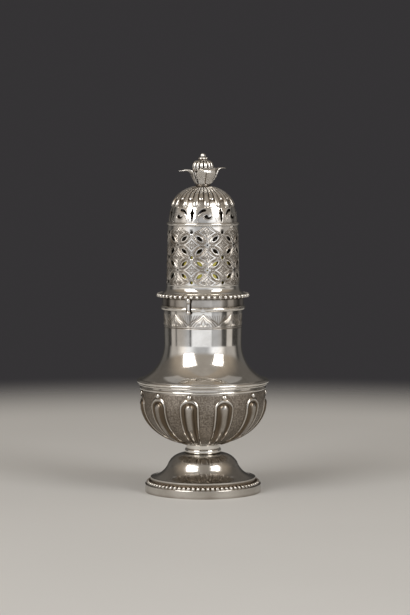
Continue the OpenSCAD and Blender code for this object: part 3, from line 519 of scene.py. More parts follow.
class Sheet:
    """One repeat of a wall, drawn flat. x runs round the wall at a given radius, z is up.

    wall(z, inset) is the radius at a height, on the face or set in from it.
    """

    def __init__(self, repeats, first, ref_r, z_rows, wall, left):
        self.repeats, self.first, self.ref_r = repeats, first, ref_r
        self.width = 2 * math.pi * ref_r / repeats
        self.z_rows, self.wall = z_rows, wall
        self.left, self.right = left, left + self.width
        self.holes, self.lines = [], []

    def hole(self, outline):
        """A hole with a closed outline, moved into this repeat."""
        outline = np.asarray(outline, float)
        middle = outline[:, 0].mean()
        outline[:, 0] += np.floor((self.right - middle) / self.width) * self.width
        self.holes.append(outline)

    def line(self, path, half, deep):
        """An engraved line of a half width and depth."""
        path = np.asarray(path, float)
        for shift in (-1, 0, 1):
            moved = path + [shift * self.width, 0]
            x, z = moved.T
            near = (x > self.left - OVERLAP) & (x < self.right + OVERLAP)
            near &= (z > self.z_rows[0] + MARGIN) & (z < self.z_rows[-1] - MARGIN)
            breaks = np.flatnonzero(np.diff(near.astype(int))) + 1
            for run in np.split(np.arange(len(path)), breaks):
                if near[run[0]] and len(run) > 1:
                    self.lines.append((moved[run], half, deep))

    def depth(self, points):
        """Depth of the engraving, and how dark it stays."""
        deep, dark = np.zeros(len(points)), np.zeros(len(points))

        def reach(path):
            box = (points > path.min(0) - NEAR).all(1) & (points < path.max(0) + NEAR).all(1)
            return box, away(points[box], path)

        for path, half, most in self.lines:
            box, far = reach(path)
            deep[box] = np.maximum(deep[box], most * np.clip(1 - far / half, 0, 1))
            dark[box] = np.maximum(dark[box], np.clip(LINE_DARK - far / half, 0, 1))
        for outline in filter(bevelled, self.holes):
            box, far = reach(ring(outline))
            deep[box] = np.maximum(deep[box], BEVEL_DEEP * np.clip(1 - far / BEVEL, 0, 1))
        return deep, dark

    def flat(self, x_list, z_list, lines):
        """Triangles of the flat repeat over a grid, round the holes and along the lines."""
        left, right, low, high = self.left, self.right, z_list[0], z_list[-1]
        points, edges = [], []

        def chain(path, closed=False):
            start, n = len(points), len(path)
            points.extend(map(tuple, path))
            edges.extend((start + i, start + (i + 1) % n) for i in range(n if closed else n - 1))

        chain([(x, low) for x in x_list] + [(right, z) for z in z_list[1:]]
              + [(x, high) for x in x_list[-2::-1]] + [(left, z) for z in z_list[-2:0:-1]], True)
        for outline in self.holes:
            chain(outline, True)
            if lines and bevelled(outline):
                chain(grown(outline, BEVEL), True)
        for path, half, _ in lines:
            left_edge = sideways(np.gradient(path, axis=0)) * half
            for share in (0, -1, 1):
                chain(path + left_edge * share)
        inside = np.array([(x, z) for x in x_list[1:-1] for z in z_list[1:-1]])
        for path in [ring(outline) for outline in self.holes] + [path for path, _, _ in lines]:
            inside = inside[away(inside, path) > ROOM]
        points.extend(map(tuple, inside))
        made = delaunay_2d_cdt([Vector(p) for p in points], edges, [], 0, PRECISION)
        flat = np.array([tuple(v) for v in made[0]])
        faces = np.array([f for f in made[2] if len(f) == 3])
        x, z = flat[faces].mean(1).T
        keep = (x > left) & (x < right) & (z > low) & (z < high)
        for outline in self.holes:
            keep &= ~within(x, z, outline)
        return flat, faces[keep].tolist()

    def bend(self, flat, inset=0.0, deep=0.0):
        """Flat points bent round the axis, on the wall's face or set in from it."""
        r = self.wall(flat[:, 1], inset) - deep
        return polar(r, self.first + np.degrees(flat[:, 0] / self.ref_r), flat[:, 1])

    def solid(self, columns, back_step=1):
        """Points, faces and dark of the whole wall, with painted shade and tarnish on the back and
        cut edges.
        """
        x_list = np.linspace(self.left, self.right, columns + 1)
        flat, faces = self.flat(x_list, self.z_rows, self.lines)
        deep, dark = self.depth(flat)
        parts = [(self.bend(flat, deep=deep), faces, dark)]
        self.holes = [refined(outline, flat) for outline in self.holes]
        back, faces = self.flat(x_list, self.z_rows[::back_step], [])
        # The back face is painted dark: painted shade inside the wall, with tarnish
        parts.append((self.bend(back, SHEET), faces, BACK_SHADE_AND_TARNISH))

        def edge(path, deep, closed, dark):
            strip = np.concatenate([self.bend(path, deep=deep), self.bend(path, SHEET)])
            parts.append((strip, quads(2, len(path), close_cols=closed), dark))

        # Cut edges of the holes are painted dark: painted shade, with tarnish
        for outline in self.holes:
            edge(outline, self.depth(outline)[0], True, CUT_SHADE_AND_TARNISH)
        for z in self.z_rows[[0, -1]]:
            edge(np.stack([x_list, np.full(len(x_list), z)], -1), 0, False, RIM_DARK)
        return repeated(*joined(parts), around(self.repeats))


def placed(path, x, z, turn=0.0):
    """A flat path turned by an angle in degrees and moved."""
    c, s = math.cos(math.radians(turn)), math.sin(math.radians(turn))
    return np.asarray(path, float) @ np.array([[c, s], [-s, c]]) + [x, z]


def circle(r, n, x, z):
    a = np.radians(around(n))
    return np.stack([x + r * np.cos(a), z + r * np.sin(a)], -1)


def lens(length, width, n):
    """Pointed oval between two arcs, closed, starting at its left point."""
    x = np.linspace(-length / 2, length / 2, n)
    r = (length ** 2 / 4 + width ** 2 / 4) / width
    y = np.sqrt(r * r - x * x) - (r - width / 2)
    return np.concatenate([np.stack([x, -y], -1), np.stack([x, y], -1)[::-1][1:-1]])


def curve(*knots, step_mm=0.4):
    """Smooth open path through some knots."""
    k = np.asarray(knots, float)
    p = np.vstack([2 * k[0] - k[1], k, 2 * k[-1] - k[-2]])
    out = []
    for a, b, c, d in zip(p, p[1:], p[2:], p[3:]):
        n = max(2, int(np.linalg.norm(c - b) / step_mm))
        t = np.linspace(0, 1, n, endpoint=False)[:, None]
        out.append(0.5 * (2 * b + (c - a) * t + (2 * a - 5 * b + 4 * c - d) * t ** 2
                          + (3 * b - a - 3 * c + d) * t ** 3))
    return np.vstack(out + [k[-1:]])


def loop(*knots, step_mm=0.25):
    """Smooth closed outline through some knots."""
    k, skip = list(knots), 4
    path = curve(*(k[-2:] + k + k[:2]), step_mm=step_mm)
    far = np.linalg.norm(path - np.array(k[0], float), axis=1)
    start = far.argmin()
    return path[start:start + skip + far[start + skip:].argmin()]


# Wall of the cover

WALL_R, WALL_TOP_R, WALL_REPEATS, FLOWER_AZIMUTH, WALL_LEFT = 21.5, 20.75, 7, 7.2, 1.7
WALL_ROWS, WALL_COLUMNS, WALL_BACK_STEP = 31, 15, 3
ROW_START, ROW_PITCH, FLOWER_ROWS = 124.9, 7.3, 5
# Radius and points of the round holes; length, width and points of the petals
EYE, HEART, PETAL = (1.0, 20), (0.5, 14), (4.6, 2.1, 11)
# Edges of the leaf round a petal: length, width, half width and depth of the line
LEAF_EDGES, LEAF_POINTS = ((9.0, 4.3, 0.3, 0.19), (7.5, 3.2, 0.17, 0.11)), 20
VEIN_REACH, VEIN_START, VEIN_PITCH = (1.05, 0.75, 0.45), 2.55, 0.6
VEIN_GAP, VEIN_LEAN, VEIN_LINE = 0.12, 0.3, (0.13, 0.09)
# Outlines of a diamond: share of its size, half width and depth of the line
DIAMOND_EDGES = ((0.80, 0.23, 0.15), (0.63, 0.18, 0.12), (0.40, 0.2, 0.13))
DIAMOND_HOLLOW, DIAMOND_RUN, HATCH = 3.8, np.linspace(0.03, 0.97, 14), np.linspace(0.14, 0.86, 9)
HATCH_SHARES, HATCH_LINE = (0.65, 0.78), (0.14, 0.09)
RAY_SHARES, RAY_LINE = (0.17, 0.37), (0.15, 0.09)
ROSETTE_UP, ROSETTE_LINE = np.array([(-0.1, 0.3), (0.7, 1.2), (0.0, 2.3)]), (0.16, 0.1)
ROSETTE_SIDE = np.array([(0.4, 0.1), (1.6, 0.75), (3.0, 0.1)])


def pierced_wall():
    """Wall of the cover: flowers of four petals on a diagonal lattice, with engraved leaves."""
    def wall(z, inset):
        taper = (WALL_TOP_R - WALL_R) * (z - Z_CYLINDER) / (Z_DOME_RIM - Z_CYLINDER)
        return WALL_R + taper - inset

    rows = np.linspace(Z_CYLINDER, Z_DOME_RIM, WALL_ROWS)
    sheet = Sheet(WALL_REPEATS, FLOWER_AZIMUTH, (WALL_R + WALL_TOP_R) / 2, rows, wall, WALL_LEFT)
    across = sheet.width / 2
    lean = math.degrees(math.atan2(ROW_PITCH, across))
    z_row = [ROW_START + k * ROW_PITCH for k in range(FLOWER_ROWS)]
    for z in z_row[::2]:
        sheet.hole(circle(*EYE, across, z))
        diamond(sheet, 0, z, across)
    for z in z_row[1::2]:
        sheet.hole(circle(*HEART, 0, z))
        diamond(sheet, across, z, across)
        for side in (-1, 1):
            for up in (-1, 1):
                place = side * across / 2, z + up * ROW_PITCH / 2, side * up * lean
                sheet.hole(placed(lens(*PETAL), *place))
                leaf(sheet, *place)
    pierced = sheet.solid(WALL_COLUMNS, WALL_BACK_STEP)
    piece("pierced_wall", pierced, silver, "cover", ["pierced_cylinder"], SHARP_ENGRAVED)


def leaf(sheet, *place):
    """Engraved leaf round a petal, with a double edge and short veins at its ends."""
    for length, width, *line in LEAF_EDGES:
        edge = ring(lens(length, width, LEAF_POINTS))
        sheet.line(placed(edge[:LEAF_POINTS], *place), *line)
        sheet.line(placed(edge[LEAF_POINTS - 1:], *place), *line)
    for end in (-1, 1):
        for k, reach in enumerate(VEIN_REACH):
            x = end * (VEIN_START + VEIN_PITCH * k)
            for side in (-1, 1):
                vein = [(x, VEIN_GAP * side), (x - end * VEIN_LEAN, reach * side)]
                sheet.line(placed(vein, *place), *VEIN_LINE)


def diamond(sheet, x, z, wide):
    """Engraving in a diamond of the lattice: hollow outlines, hatching and a small rosette."""
    normal = np.array([ROW_PITCH, wide]) / math.hypot(ROW_PITCH, wide)
    for side in (-1, 1):
        for up in (-1, 1):
            def edge(share, t):
                line = np.outer(1 - t, [wide * share, 0]) + np.outer(t, [0, ROW_PITCH * share])
                hollow = np.outer(DIAMOND_HOLLOW * share * t * (1 - t), normal)
                return (line - hollow) * [side, up] + [x, z]

            for share, *line in DIAMOND_EDGES:
                sheet.line(edge(share, DIAMOND_RUN), *line)
            for ends in zip(*(edge(share, HATCH) for share in HATCH_SHARES)):
                sheet.line(ends, *HATCH_LINE)
            for ends in zip(edge(RAY_SHARES[0], HATCH[1::3]), edge(RAY_SHARES[1], HATCH[::3])):
                sheet.line(ends, *RAY_LINE)
    for up in (-1, 1):
        for side in (1, -1):
            sheet.line(curve(*(ROSETTE_UP * [side, up] + [x, z])), *ROSETTE_LINE)
        for side in (-1, 1):
            sheet.line(curve(*(ROSETTE_SIDE * [side, up] + [x, z])), *ROSETTE_LINE)


pierced_wall()


# Neck

NECK_R, NECK_TOP_R, NECK_SWEEP, SHOULDER_R, NECK_COLUMNS = 22.8, 23.2, 22.8, 36.9, 20
# Runs of rows up the neck: from, to, count
NECK_ROWS = ((Z_SHOULDER, 74, 22), (74, 88, 24), (88, Z_BAND, 23))
FRIEZE_REPEATS, FRIEZE_REF_R, FRIEZE_AZIMUTH, FRIEZE_LOW, FRIEZE_LEFT = 8, 23.0, 0.5, 98.2, 1.3
# Level lines: height over the frieze's foot, half width and depth
FRIEZE_LINES, FRIEZE_POINTS = ((0.0, 0.34, 0.2), (0.95, 0.17, 0.1)), 47
# Lines of half an arch: half width, depth, and knots from the arch's middle and the frieze's foot
ARCH_LINES = (
    (0.38, 0.22, (7.6, 1.2), (5.6, 3.6), (2.6, 5.6), (0.25, 8.1)),
    (0.28, 0.17, (6.0, 1.2), (4.5, 2.9), (2.1, 4.7), (0.25, 6.5)),
    (0.28, 0.17, (0.15, 1.1), (1.15, 2.4), (0.75, 4.0), (0.1, 5.4)),
    (0.2, 0.17, (2.0, 1.2), (2.7, 2.0), (2.1, 2.7), (1.7, 2.0)),
    (0.2, 0.17, (3.9, 1.2), (3.6, 2.1), (2.9, 2.9)),
)
# Blades of the fan between two arches: knots of the first from its middle, and change to the next
FAN_BLADES, FAN_LINE = 5, (0.22, 0.17)
FAN_FIRST = np.array([(-0.25, 1.6), (-0.5, 4.2), (-0.6, 7.2)])
FAN_CHANGE = np.array([(-0.35, 0.5), (-1.1, 0.35), (-1.62, 0.1125)])


def engraved_neck():
    """Shoulder and neck in one sheet, with a frieze of pointed arches under the band."""
    centre_r = NECK_R + NECK_SWEEP
    centre_z = Z_SHOULDER + math.sqrt(NECK_SWEEP ** 2 - (centre_r - SHOULDER_R) ** 2)

    def wall(z, inset):
        sweep = NECK_SWEEP + inset
        dz = np.clip((centre_z - z) / sweep, -1, 1)
        low = centre_r - sweep * np.sqrt(np.maximum(0, 1 - dz * dz))
        taper = (NECK_TOP_R - NECK_R) * (z - centre_z) / (Z_BAND - centre_z)
        return np.where(z < centre_z, low, NECK_R - inset + taper)

    rows = np.unique(np.concatenate([np.linspace(*run) for run in NECK_ROWS]))
    half = math.pi * FRIEZE_REF_R / FRIEZE_REPEATS
    sheet = Sheet(FRIEZE_REPEATS, FRIEZE_AZIMUTH, FRIEZE_REF_R, rows, wall, FRIEZE_LEFT - half)
    level = np.linspace((-half, FRIEZE_LOW), (half, FRIEZE_LOW), FRIEZE_POINTS)
    for up, *line in FRIEZE_LINES:
        sheet.line(level + [0, up], *line)
    fan = [(*FAN_LINE, *(FAN_FIRST + k * FAN_CHANGE + [half, 0])) for k in range(FAN_BLADES)]
    for side in (-1, 1):
        for width, deep, *knots in (*ARCH_LINES, *fan):
            sheet.line(curve(*(np.array(knots) * [side, 1] + [0, FRIEZE_LOW])), width, deep)
    piece("engraved_neck", sheet.solid(NECK_COLUMNS), silver, "vessel", ["neck"], SHARP_ENGRAVED)


engraved_neck()


# Catches of the cover

CATCH_AZIMUTH, CATCH_LOW, CATCH_TOP, CATCH_ROWS, CATCH_COLUMNS = -19.4, 106.6, 115.8, 61, 17
CATCH_R, CATCH_BACK_R, CATCH_HOOK_R, CATCH_HALF = 26.2, 25.4, 24.3, 1.0
# Heights of the hook's top and the pad's foot, and of the steep step at each
CATCH_HOOK, CATCH_PAD, CATCH_STEP = 107.9, 114.6, 0.02
# Knob and foot: height, half height, and what they add to the half width and the radius
CATCH_KNOB, CATCH_FOOT = (114.5, 1.35, 0.3, 0.38), (107.55, 1.0, 0.25, 0.34)
CATCH_ROUND, KNOB_ROUND, CATCH_EDGE = 0.62, 0.3, 0.97
# Darker bands under the knob and over the foot, and a darker back face
CATCH_DARK_BANDS, CATCH_DARK, CATCH_BACK_DARK = ((112.9, 0.5), (108.75, 0.4)), 0.9, 0.8


def bayonet_catches():
    """Two slim straps under the cover, each with a knob at its head and a hook under the ring."""
    steps = [z + up for z in (CATCH_HOOK, CATCH_PAD) for up in (0, CATCH_STEP)]
    z = np.unique(np.append(np.linspace(CATCH_LOW, CATCH_TOP, CATCH_ROWS), steps))[:, None]
    s = np.linspace(-1, 1, CATCH_COLUMNS)
    half, front = CATCH_HALF, CATCH_R
    for middle, tall, wider, further in (CATCH_KNOB, CATCH_FOOT):
        swell = np.sqrt(ridge(z, middle, tall))
        half, front = half + wider * swell, front + further * swell
    fall = CATCH_ROUND + KNOB_ROUND * ridge(z, *CATCH_KNOB[:2])
    front = front - fall * (1 - np.sqrt(np.maximum(0, 1 - (CATCH_EDGE * s) ** 2)))
    back = np.where((z <= CATCH_HOOK) | (z > CATCH_PAD), CATCH_HOOK_R, CATCH_BACK_R) + 0 * s
    dark = np.abs(s) ** 4 + 0 * z
    for dark_band in CATCH_DARK_BANDS:
        dark = np.maximum(dark, CATCH_DARK * ridge(z, *dark_band))
    dark = np.append(dark.ravel(), np.full(dark.size, CATCH_BACK_DARK))
    grids = [polar(r, np.degrees(np.arcsin(half * s / r)), z) for r in (front, back)]
    catches = repeated(*slab(*grids), dark, around(2, CATCH_AZIMUTH))
    piece("bayonet_catches", catches, silver, "cover", ["bayonet_lugs"], SHARP_CATCH)


bayonet_catches()


# Dome

GALLERY_R, CAP_R, GALLERY_BOW, GALLERY_LEFT = 20.3, 18.8, 0.21, 2.4
GALLERY_ROWS, SPEAR_COLUMNS, SPEAR_STEPS = 12, 16, 4
SPEARS, SPEAR_AZIMUTH, GALLERY_LINE = 7, -18.5, (0.13, 0.08)
# Flat outlines and lines, from the middle of a spear and the floor
HALF_SPEAR = [(0, 168.25), (0.5, 167.3), (0.64, 166.4), (1.0, 165.9), (1.55, 165.35), (1.05, 164.8),
              (0.9, 163.9), (0.72, 162.2), (0.36, 160.8), (0, 160.1)]
BROW = loop((3.35, 164.0), (3.75, 165.6), (5.1, 167.1), (6.8, 167.75), (8.0, 167.6),
            (8.35, 166.95), (7.8, 166.3), (6.6, 166.05), (5.5, 165.55), (4.4, 164.7))
COMMA = loop((8.3, 164.4), (7.15, 163.6), (7.7, 162.4), (9.3, 161.85), (10.7, 162.4),
             (11.3, 163.7), (10.3, 163.15), (9.55, 163.1), (9.3, 163.5), (9.1, 164.1))
SCROLL = curve((9.6, 164.6), (8.4, 164.9), (6.9, 164.3), (6.6, 163.0), (7.6, 161.7), (9.6, 161.3),
               (11.4, 161.9))
TENDRILS = (curve((1.9, 161.2), (3.0, 163.6), (4.9, 165.0), (6.9, 165.6)),
            curve((3.3, 160.6), (4.1, 162.6), (5.6, 164.1)))
# Sides of each spear that have a brow, round from the front
BROW_SIDES = ((-1, 1), (1,), (1,), (1,), (), (-1,), (-1,))


def pierced_gallery():
    """Lower wall of the dome, pierced with spears, brows and commas."""
    low, high = np.array([GALLERY_R, Z_GALLERY]), np.array([CAP_R, Z_CAP])
    chord = high - low
    span = np.linalg.norm(chord)
    out = np.array([chord[1], -chord[0]]) / span
    arc = (span ** 2 / 4 + GALLERY_BOW ** 2) / (2 * GALLERY_BOW)
    centre = low + chord / 2 - out * (arc - GALLERY_BOW)

    def wall(z, inset):
        return centre[0] + np.sqrt((arc - inset) ** 2 - (z - centre[1]) ** 2)

    rows = np.linspace(Z_GALLERY, Z_CAP, GALLERY_ROWS)
    sheet = Sheet(1, SPEAR_AZIMUTH, (GALLERY_R + CAP_R) / 2, rows, wall, GALLERY_LEFT)
    corners = HALF_SPEAR + [(-x, z) for x, z in HALF_SPEAR[-2:0:-1]]
    spear = np.vstack([np.linspace(a, b, SPEAR_STEPS)[:-1]
                       for a, b in zip(corners, corners[1:] + corners[:1])])
    for k, sides in enumerate(BROW_SIDES):
        place = [k * sheet.width / SPEARS, 0]
        sheet.hole(spear + place)
        sheet.hole(COMMA + place)
        sheet.line(SCROLL + place, *GALLERY_LINE)
        for side in (-1, 1):
            if side in sides:
                sheet.hole(BROW * [side, 1] + place)
            for path in TENDRILS:
                sheet.line(path * [side, 1] + place, *GALLERY_LINE)
    gallery = sheet.solid(SPEAR_COLUMNS * SPEARS)
    piece("pierced_gallery", gallery, silver, "cover", ["dome_gallery"], SHARP_ENGRAVED)


FLUTES, FLUTE_AZIMUTH, CAP_TOP_R, CAP_DROP, CAP_T, STUD_HOLE = 16, 7.4, 4.7, 3.5, 1.1, 1.41
CAP_ROWS, CAP_IN_ROWS, TONGUE_COLUMNS = 84, 10, 20
# Starts of the tongues up the cap, and their rise and sunk ground in half widths
LONG_START, SHORT_START, TONGUE_RISE, TONGUE_SUNK = 0.35, 4.6, 0.56, 0.4
# Where the relief settles at the rim and at the top, and by how much
RIM_SETTLE, TOP_SETTLE, TOP_SHARE = (0.0, 0.5), 1.0, 0.5
FURROW, FURROW_START, FURROW_RISE, FURROW_LEAST = (0.66, 0.96), (0.4, 1.2), (2.0, 5.0), 0.35


def fluted_cap():
    """Cap of the dome with long and short tongues by turns, running up to the finial."""
    tongues, rise = FLUTES * 2, CAP_DROP + Z_CAP_TOP - Z_CAP
    columns = tongues * TONGUE_COLUMNS
    ratio = (rise ** 2 - CAP_DROP ** 2) / (CAP_R ** 2 - CAP_TOP_R ** 2)
    wide = math.sqrt(CAP_R ** 2 + CAP_DROP ** 2 / ratio)
    tall = wide * math.sqrt(ratio)
    phi = np.linspace(math.asin(CAP_DROP / tall), math.asin(rise / tall), CAP_ROWS)
    r, z = wide * np.cos(phi), Z_CAP - CAP_DROP + tall * np.sin(phi)
    section = np.stack([r, z], -1)
    normal = np.stack([tall * np.cos(phi), wide * np.sin(phi)], -1)
    along = length_along(section)[:, None]
    az = around(columns, FLUTE_AZIMUTH)
    turn = np.arange(columns) / TONGUE_COLUMNS
    near = np.round(turn)
    short = near % 2 == 1
    half = (math.pi * r / tongues)[:, None]
    side = (turn - near) * 2 * half

    def round_head(across, start):
        return np.hypot(across, np.minimum(0, along - start - half)) / half

    q = round_head(side, np.where(short, SHORT_START, LONG_START))
    other = round_head(2 * half - np.abs(side), LONG_START)
    q = np.where(short & (other < q), other, q)
    end = along[-1]
    settle = step(along, *RIM_SETTLE) * (1 - TOP_SHARE * step(along, end - TOP_SETTLE, end))
    relief = TONGUE_RISE * (np.sqrt(ridge(q)) - TONGUE_SUNK) * half * settle
    dark = step(q, *FURROW) * step(along, *FURROW_START)
    dark = dark * (FURROW_LEAST + (1 - FURROW_LEAST) * step(along, *FURROW_RISE))

    phi_in = np.linspace(phi[-1], phi[0], CAP_IN_ROWS)
    r_in = (wide - CAP_T) * np.cos(phi_in)
    z_in = np.minimum(Z_CAP - CAP_DROP + (tall - CAP_T) * np.sin(phi_in), Z_CAP_TOP - CAP_T)
    r_in[0], z_in[0], r_in[-1], z_in[-1] = STUD_HOLE, Z_CAP_TOP - CAP_T, CAP_R - SHEET, Z_CAP
    r_in, z_in = np.append(STUD_HOLE, r_in), np.append(Z_CAP_TOP, z_in)
    inner = polar(r_in[:, None], az, z_in[:, None])
    points = np.concatenate([raised(section, normal, relief, az), inner])
    # The inside of the cap is painted dark: painted shade, with tarnish
    dark = np.concatenate([dark, np.full((len(inner), columns), BACK_SHADE_AND_TARNISH)])
    faces = quads(len(points), columns, close_rows=True)
    piece("fluted_cap", (points, faces, dark), silver, "cover", ["dome_cap"])


pierced_gallery()
fluted_cap()


# Finial

LEAF_AZIMUTH, LEAF_ROWS, LEAF_COLUMNS = 17, 48, 41
# Radius and height at the foot, and along the middle of the leaf at the front, right, back and left
LEAF_FOOT = (4.0, Z_CUP)
LEAF_PATHS = (
    ((4.9, 184.5), (5.9, 186.6), (6.7, 188.3), (7.6, 189.6), (8.8, 190.6), (10.1, 190.9),
     (11.2, 190.6), (11.9, 190.0), (12.25, 189.2), (12.35, 188.6)),
    ((5.6, 183.8), (7.2, 186.4), (8.2, 188.6), (9.3, 190.2), (11.3, 191.1), (14.4, 191.2)),
    ((4.8, 184.5), (5.6, 186.4), (6.4, 188.2), (7.3, 189.2), (8.9, 189.8), (10.6, 189.9),
     (12.7, 189.7), (14.6, 189.4)),
    ((5.3, 184.2), (6.2, 186.4), (6.8, 188.2), (7.6, 189.1), (8.9, 189.6), (10.6, 189.8),
     (12.7, 189.6), (14.9, 189.6)),
)
# Share of the length and half width of a slim leaf and of the broad one at the front
SLIM_WIDTHS = ((0.0, 2.4), (0.12, 2.4), (0.25, 2.7), (0.36, 3.1), (0.45, 3.3), (0.55, 3.3),
               (0.66, 3.0), (0.78, 2.3), (0.9, 1.2), (1.0, 0.05))
BROAD_WIDTHS = ((0.0, 4.0), (0.14, 4.7), (0.3, 5.8), (0.4, 6.2), (0.49, 5.5), (0.58, 4.7),
                (0.68, 4.4), (0.8, 4.2), (0.9, 3.6), (0.96, 2.5), (1.0, 0.3))
# Most half width per radius. Half thickness at the foot, and what length and sides take from it.
LEAF_FIT, LEAF_T, LEAF_THIN, LEAF_SIDE_THIN = 0.92, 0.5, 0.34, 0.4
# Trough per square of the way across, and what the curl adds on a slim and on the broad leaf
TROUGH, SLIM_TROUGH, BROAD_TROUGH, CURL = 0.022, 0.045, 0.02, (0.5, 0.72)
# Rib along the middle, and fine furls on the lower leaf
RIB_H, RIB_HALF, RIB_END, RIB_DARK_HALF, RIB_DARK = 0.28, 0.30, (1.0, 0.85), 0.28, 0.9
FURL_H, FURL_ACROSS, FURL_ALONG = 0.06, 4.4, 37.4
FURL_SIDE, FURL_START, FURL_END, FURL_DARK = (0.1, 0.3), (0.05, 0.2), (0.55, 0.4), 0.34
# Bead along a slim leaf's edge: half thickness, share that the point takes, least, start and end
EDGE_BEAD, BEAD_POINT, BEAD_LEAST, BEAD_START, BEAD_END = 0.42, 0.8, 0.01, (0.02, 0.3), (0.55, 1.0)
# The top face takes this share of the dark and the underside all of it: painted shade under the
# leaves
LEAF_TOP_DARK = 0.8


def along_path(knots, n):
    """Points at even steps along a smooth path through some knots."""
    path = curve(*knots, step_mm=0.1)
    run = length_along(path)
    want = np.linspace(0, run[-1], n)
    return np.stack([np.interp(want, run, way) for way in path.T], -1)


def curled_leaves():
    """Four leaves that stand round the cup and curl out to their points as shallow troughs."""
    t = np.linspace(0, 1, LEAF_ROWS)[:, None]
    s = np.sin(np.linspace(-math.pi / 2, math.pi / 2, LEAF_COLUMNS))
    parts = []
    for k, knots in enumerate(LEAF_PATHS):
        broad = k == 0
        line = along_path((LEAF_FOOT, *knots), LEAF_ROWS)
        slope = np.gradient(line, axis=0)
        slope /= np.linalg.norm(slope, axis=1)[:, None]
        share, width = curve(*(BROAD_WIDTHS if broad else SLIM_WIDTHS), step_mm=0.02).T
        half = np.minimum(np.interp(t, share, width), line[:, :1] * LEAF_FIT)
        across = s * half
        hollow = TROUGH + (BROAD_TROUGH if broad else SLIM_TROUGH) * step(t, *CURL)
        middle = hollow * across ** 2
        middle = middle + RIB_H * np.exp(-(across / RIB_HALF) ** 2) * step(t, *RIB_END)
        furls = FURL_H * np.cos(FURL_ACROSS * across - FURL_ALONG * t) * step(np.abs(s), *FURL_SIDE)
        furls = furls * step(t, *FURL_START) * step(t, *FURL_END)
        thick = (LEAF_T - LEAF_THIN * t) * (1 - LEAF_SIDE_THIN * s ** 2)
        if not broad:
            bead = EDGE_BEAD * (1 - BEAD_POINT * step(t, *BEAD_END)) * step(t, *BEAD_START)
            bead = bead + BEAD_LEAST
            edge = (1 - np.abs(s)) * half / bead
            round_edge = bead * np.sqrt(ridge(np.minimum(edge, 2), 1))
            thick = np.maximum(thick * step(edge, 0.0, 1.0), round_edge)
        grids = []
        for face in (1, -1):
            lift = middle + face * (thick + furls)
            r = line[:, :1] - slope[:, 1:] * lift
            z = np.where(t == 0, Z_CUP, line[:, 1:] + slope[:, :1] * lift)
            grids.append(turned(np.stack([across, -r, z], -1), LEAF_AZIMUTH + 90 * k))
        dark = RIB_DARK * np.exp(-(across / RIB_DARK_HALF) ** 2) + FURL_DARK * step(t, *FURL_END)
        # The underside stays darker than the top: painted shade
        dark = np.append(LEAF_TOP_DARK * dark.ravel(), dark.ravel())
        parts.append((*slab(*grids), dark))
    piece("curled_leaves", joined(parts), leaf_silver, "cover", ["finial_leaves"], SHARP_LEAF)


BUD_R, BUD_H, BUD_AZIMUTH, BUD_ROWS, BUD_RIBS, RIB_COLUMNS = 6.3, 6.7, 4.0, 44, 14, 16
# Angles of the section in degrees, and the power that makes it plump
BUD_TURN, BUD_PLUMP, RIB_DEEP, RIB_START = (-40, 88), 0.5, 0.24, (-0.05, 0.2)
# Rib edges are darker, as painted shade with tarnish in the grooves; the top is darker too
RIB_SHADE, BUD_TOP, BUD_TOP_DARK, BUD_END_DARK = 2.5, (0.72, 0.95), 0.3, [0.3, 0.8]


def ribbed_bud():
    """Bud with plump ribs that meet under the berries."""
    columns = BUD_RIBS * RIB_COLUMNS
    az = around(columns, BUD_AZIMUTH)
    phi = np.radians(np.linspace(*BUD_TURN, BUD_ROWS))[:, None]
    share = (np.sin(phi) - np.sin(phi[0])) / (np.sin(phi[-1]) - np.sin(phi[0]))
    across = (np.arange(columns) % RIB_COLUMNS) / RIB_COLUMNS * 2 - 1
    deep = RIB_DEEP * (1 - np.sqrt(ridge(across))) * step(share, *RIB_START)
    grid = polar(BUD_R * np.cos(phi) ** BUD_PLUMP * (1 - deep), az, Z_BUD + BUD_H * share)
    # Painted shade towards the grooves between the ribs, with tarnish
    dark = np.maximum(np.abs(across) ** RIB_SHADE, BUD_TOP_DARK * step(share, *BUD_TOP))
    bud = capped(grid, [0, 0, Z_BUD], [0, 0, Z_BUD + BUD_H])
    dark = np.append(dark.ravel(), BUD_END_DARK)
    piece("ribbed_bud", (*bud, dark), silver, "cover", ["finial_bud"])


# Lobes, depth of their creases, rows and columns of a ball
BERRY_BALL, KNOB_BALL = (3, 0.16, 18, 40), (5, 0.22, 22, 60)
BERRIES, BERRY_AZIMUTH, BERRY_R, BERRY_RING, BERRY_Z = 6, 22.0, 1.2, 1.4, 196.5
# A berry and the knob are painted darker towards the bottom: painted shade on their undersides
BERRY_LONG, BERRY_LEAN, BERRY_DARK = 1.18, 52, (0.75, 0.8)
KNOB_R, KNOB_H, KNOB_TOP, KNOB_DARK = 1.6, 3.1, 199.95, (0.1, 0.4)
KNOB_LOW = KNOB_TOP - KNOB_H
PIN_R, PIN_COLUMNS, PIN_DARK = (0.5, 0.7, 0.7, 0.7, 0.95), 24, 0.6
PIN_Z = (190.0, 190.3, 192.0, KNOB_LOW + 0.1, KNOB_LOW + 0.6)


def lobed_ball(lobes, depth, rows, columns):
    """Unit ball with soft lobes round its upright axis, as points and faces."""
    up = np.linspace(-math.pi / 2, math.pi / 2, rows)[1:-1, None]
    a = np.radians(around(columns))
    r = np.cos(up) * (1 - depth * (0.5 - 0.5 * np.cos(lobes * a)) * np.cos(up) ** 2)
    ball = np.stack([r * np.cos(a), r * np.sin(a), np.sin(up) + 0 * a], -1)
    return capped(ball, [0, 0, -1], [0, 0, 1])


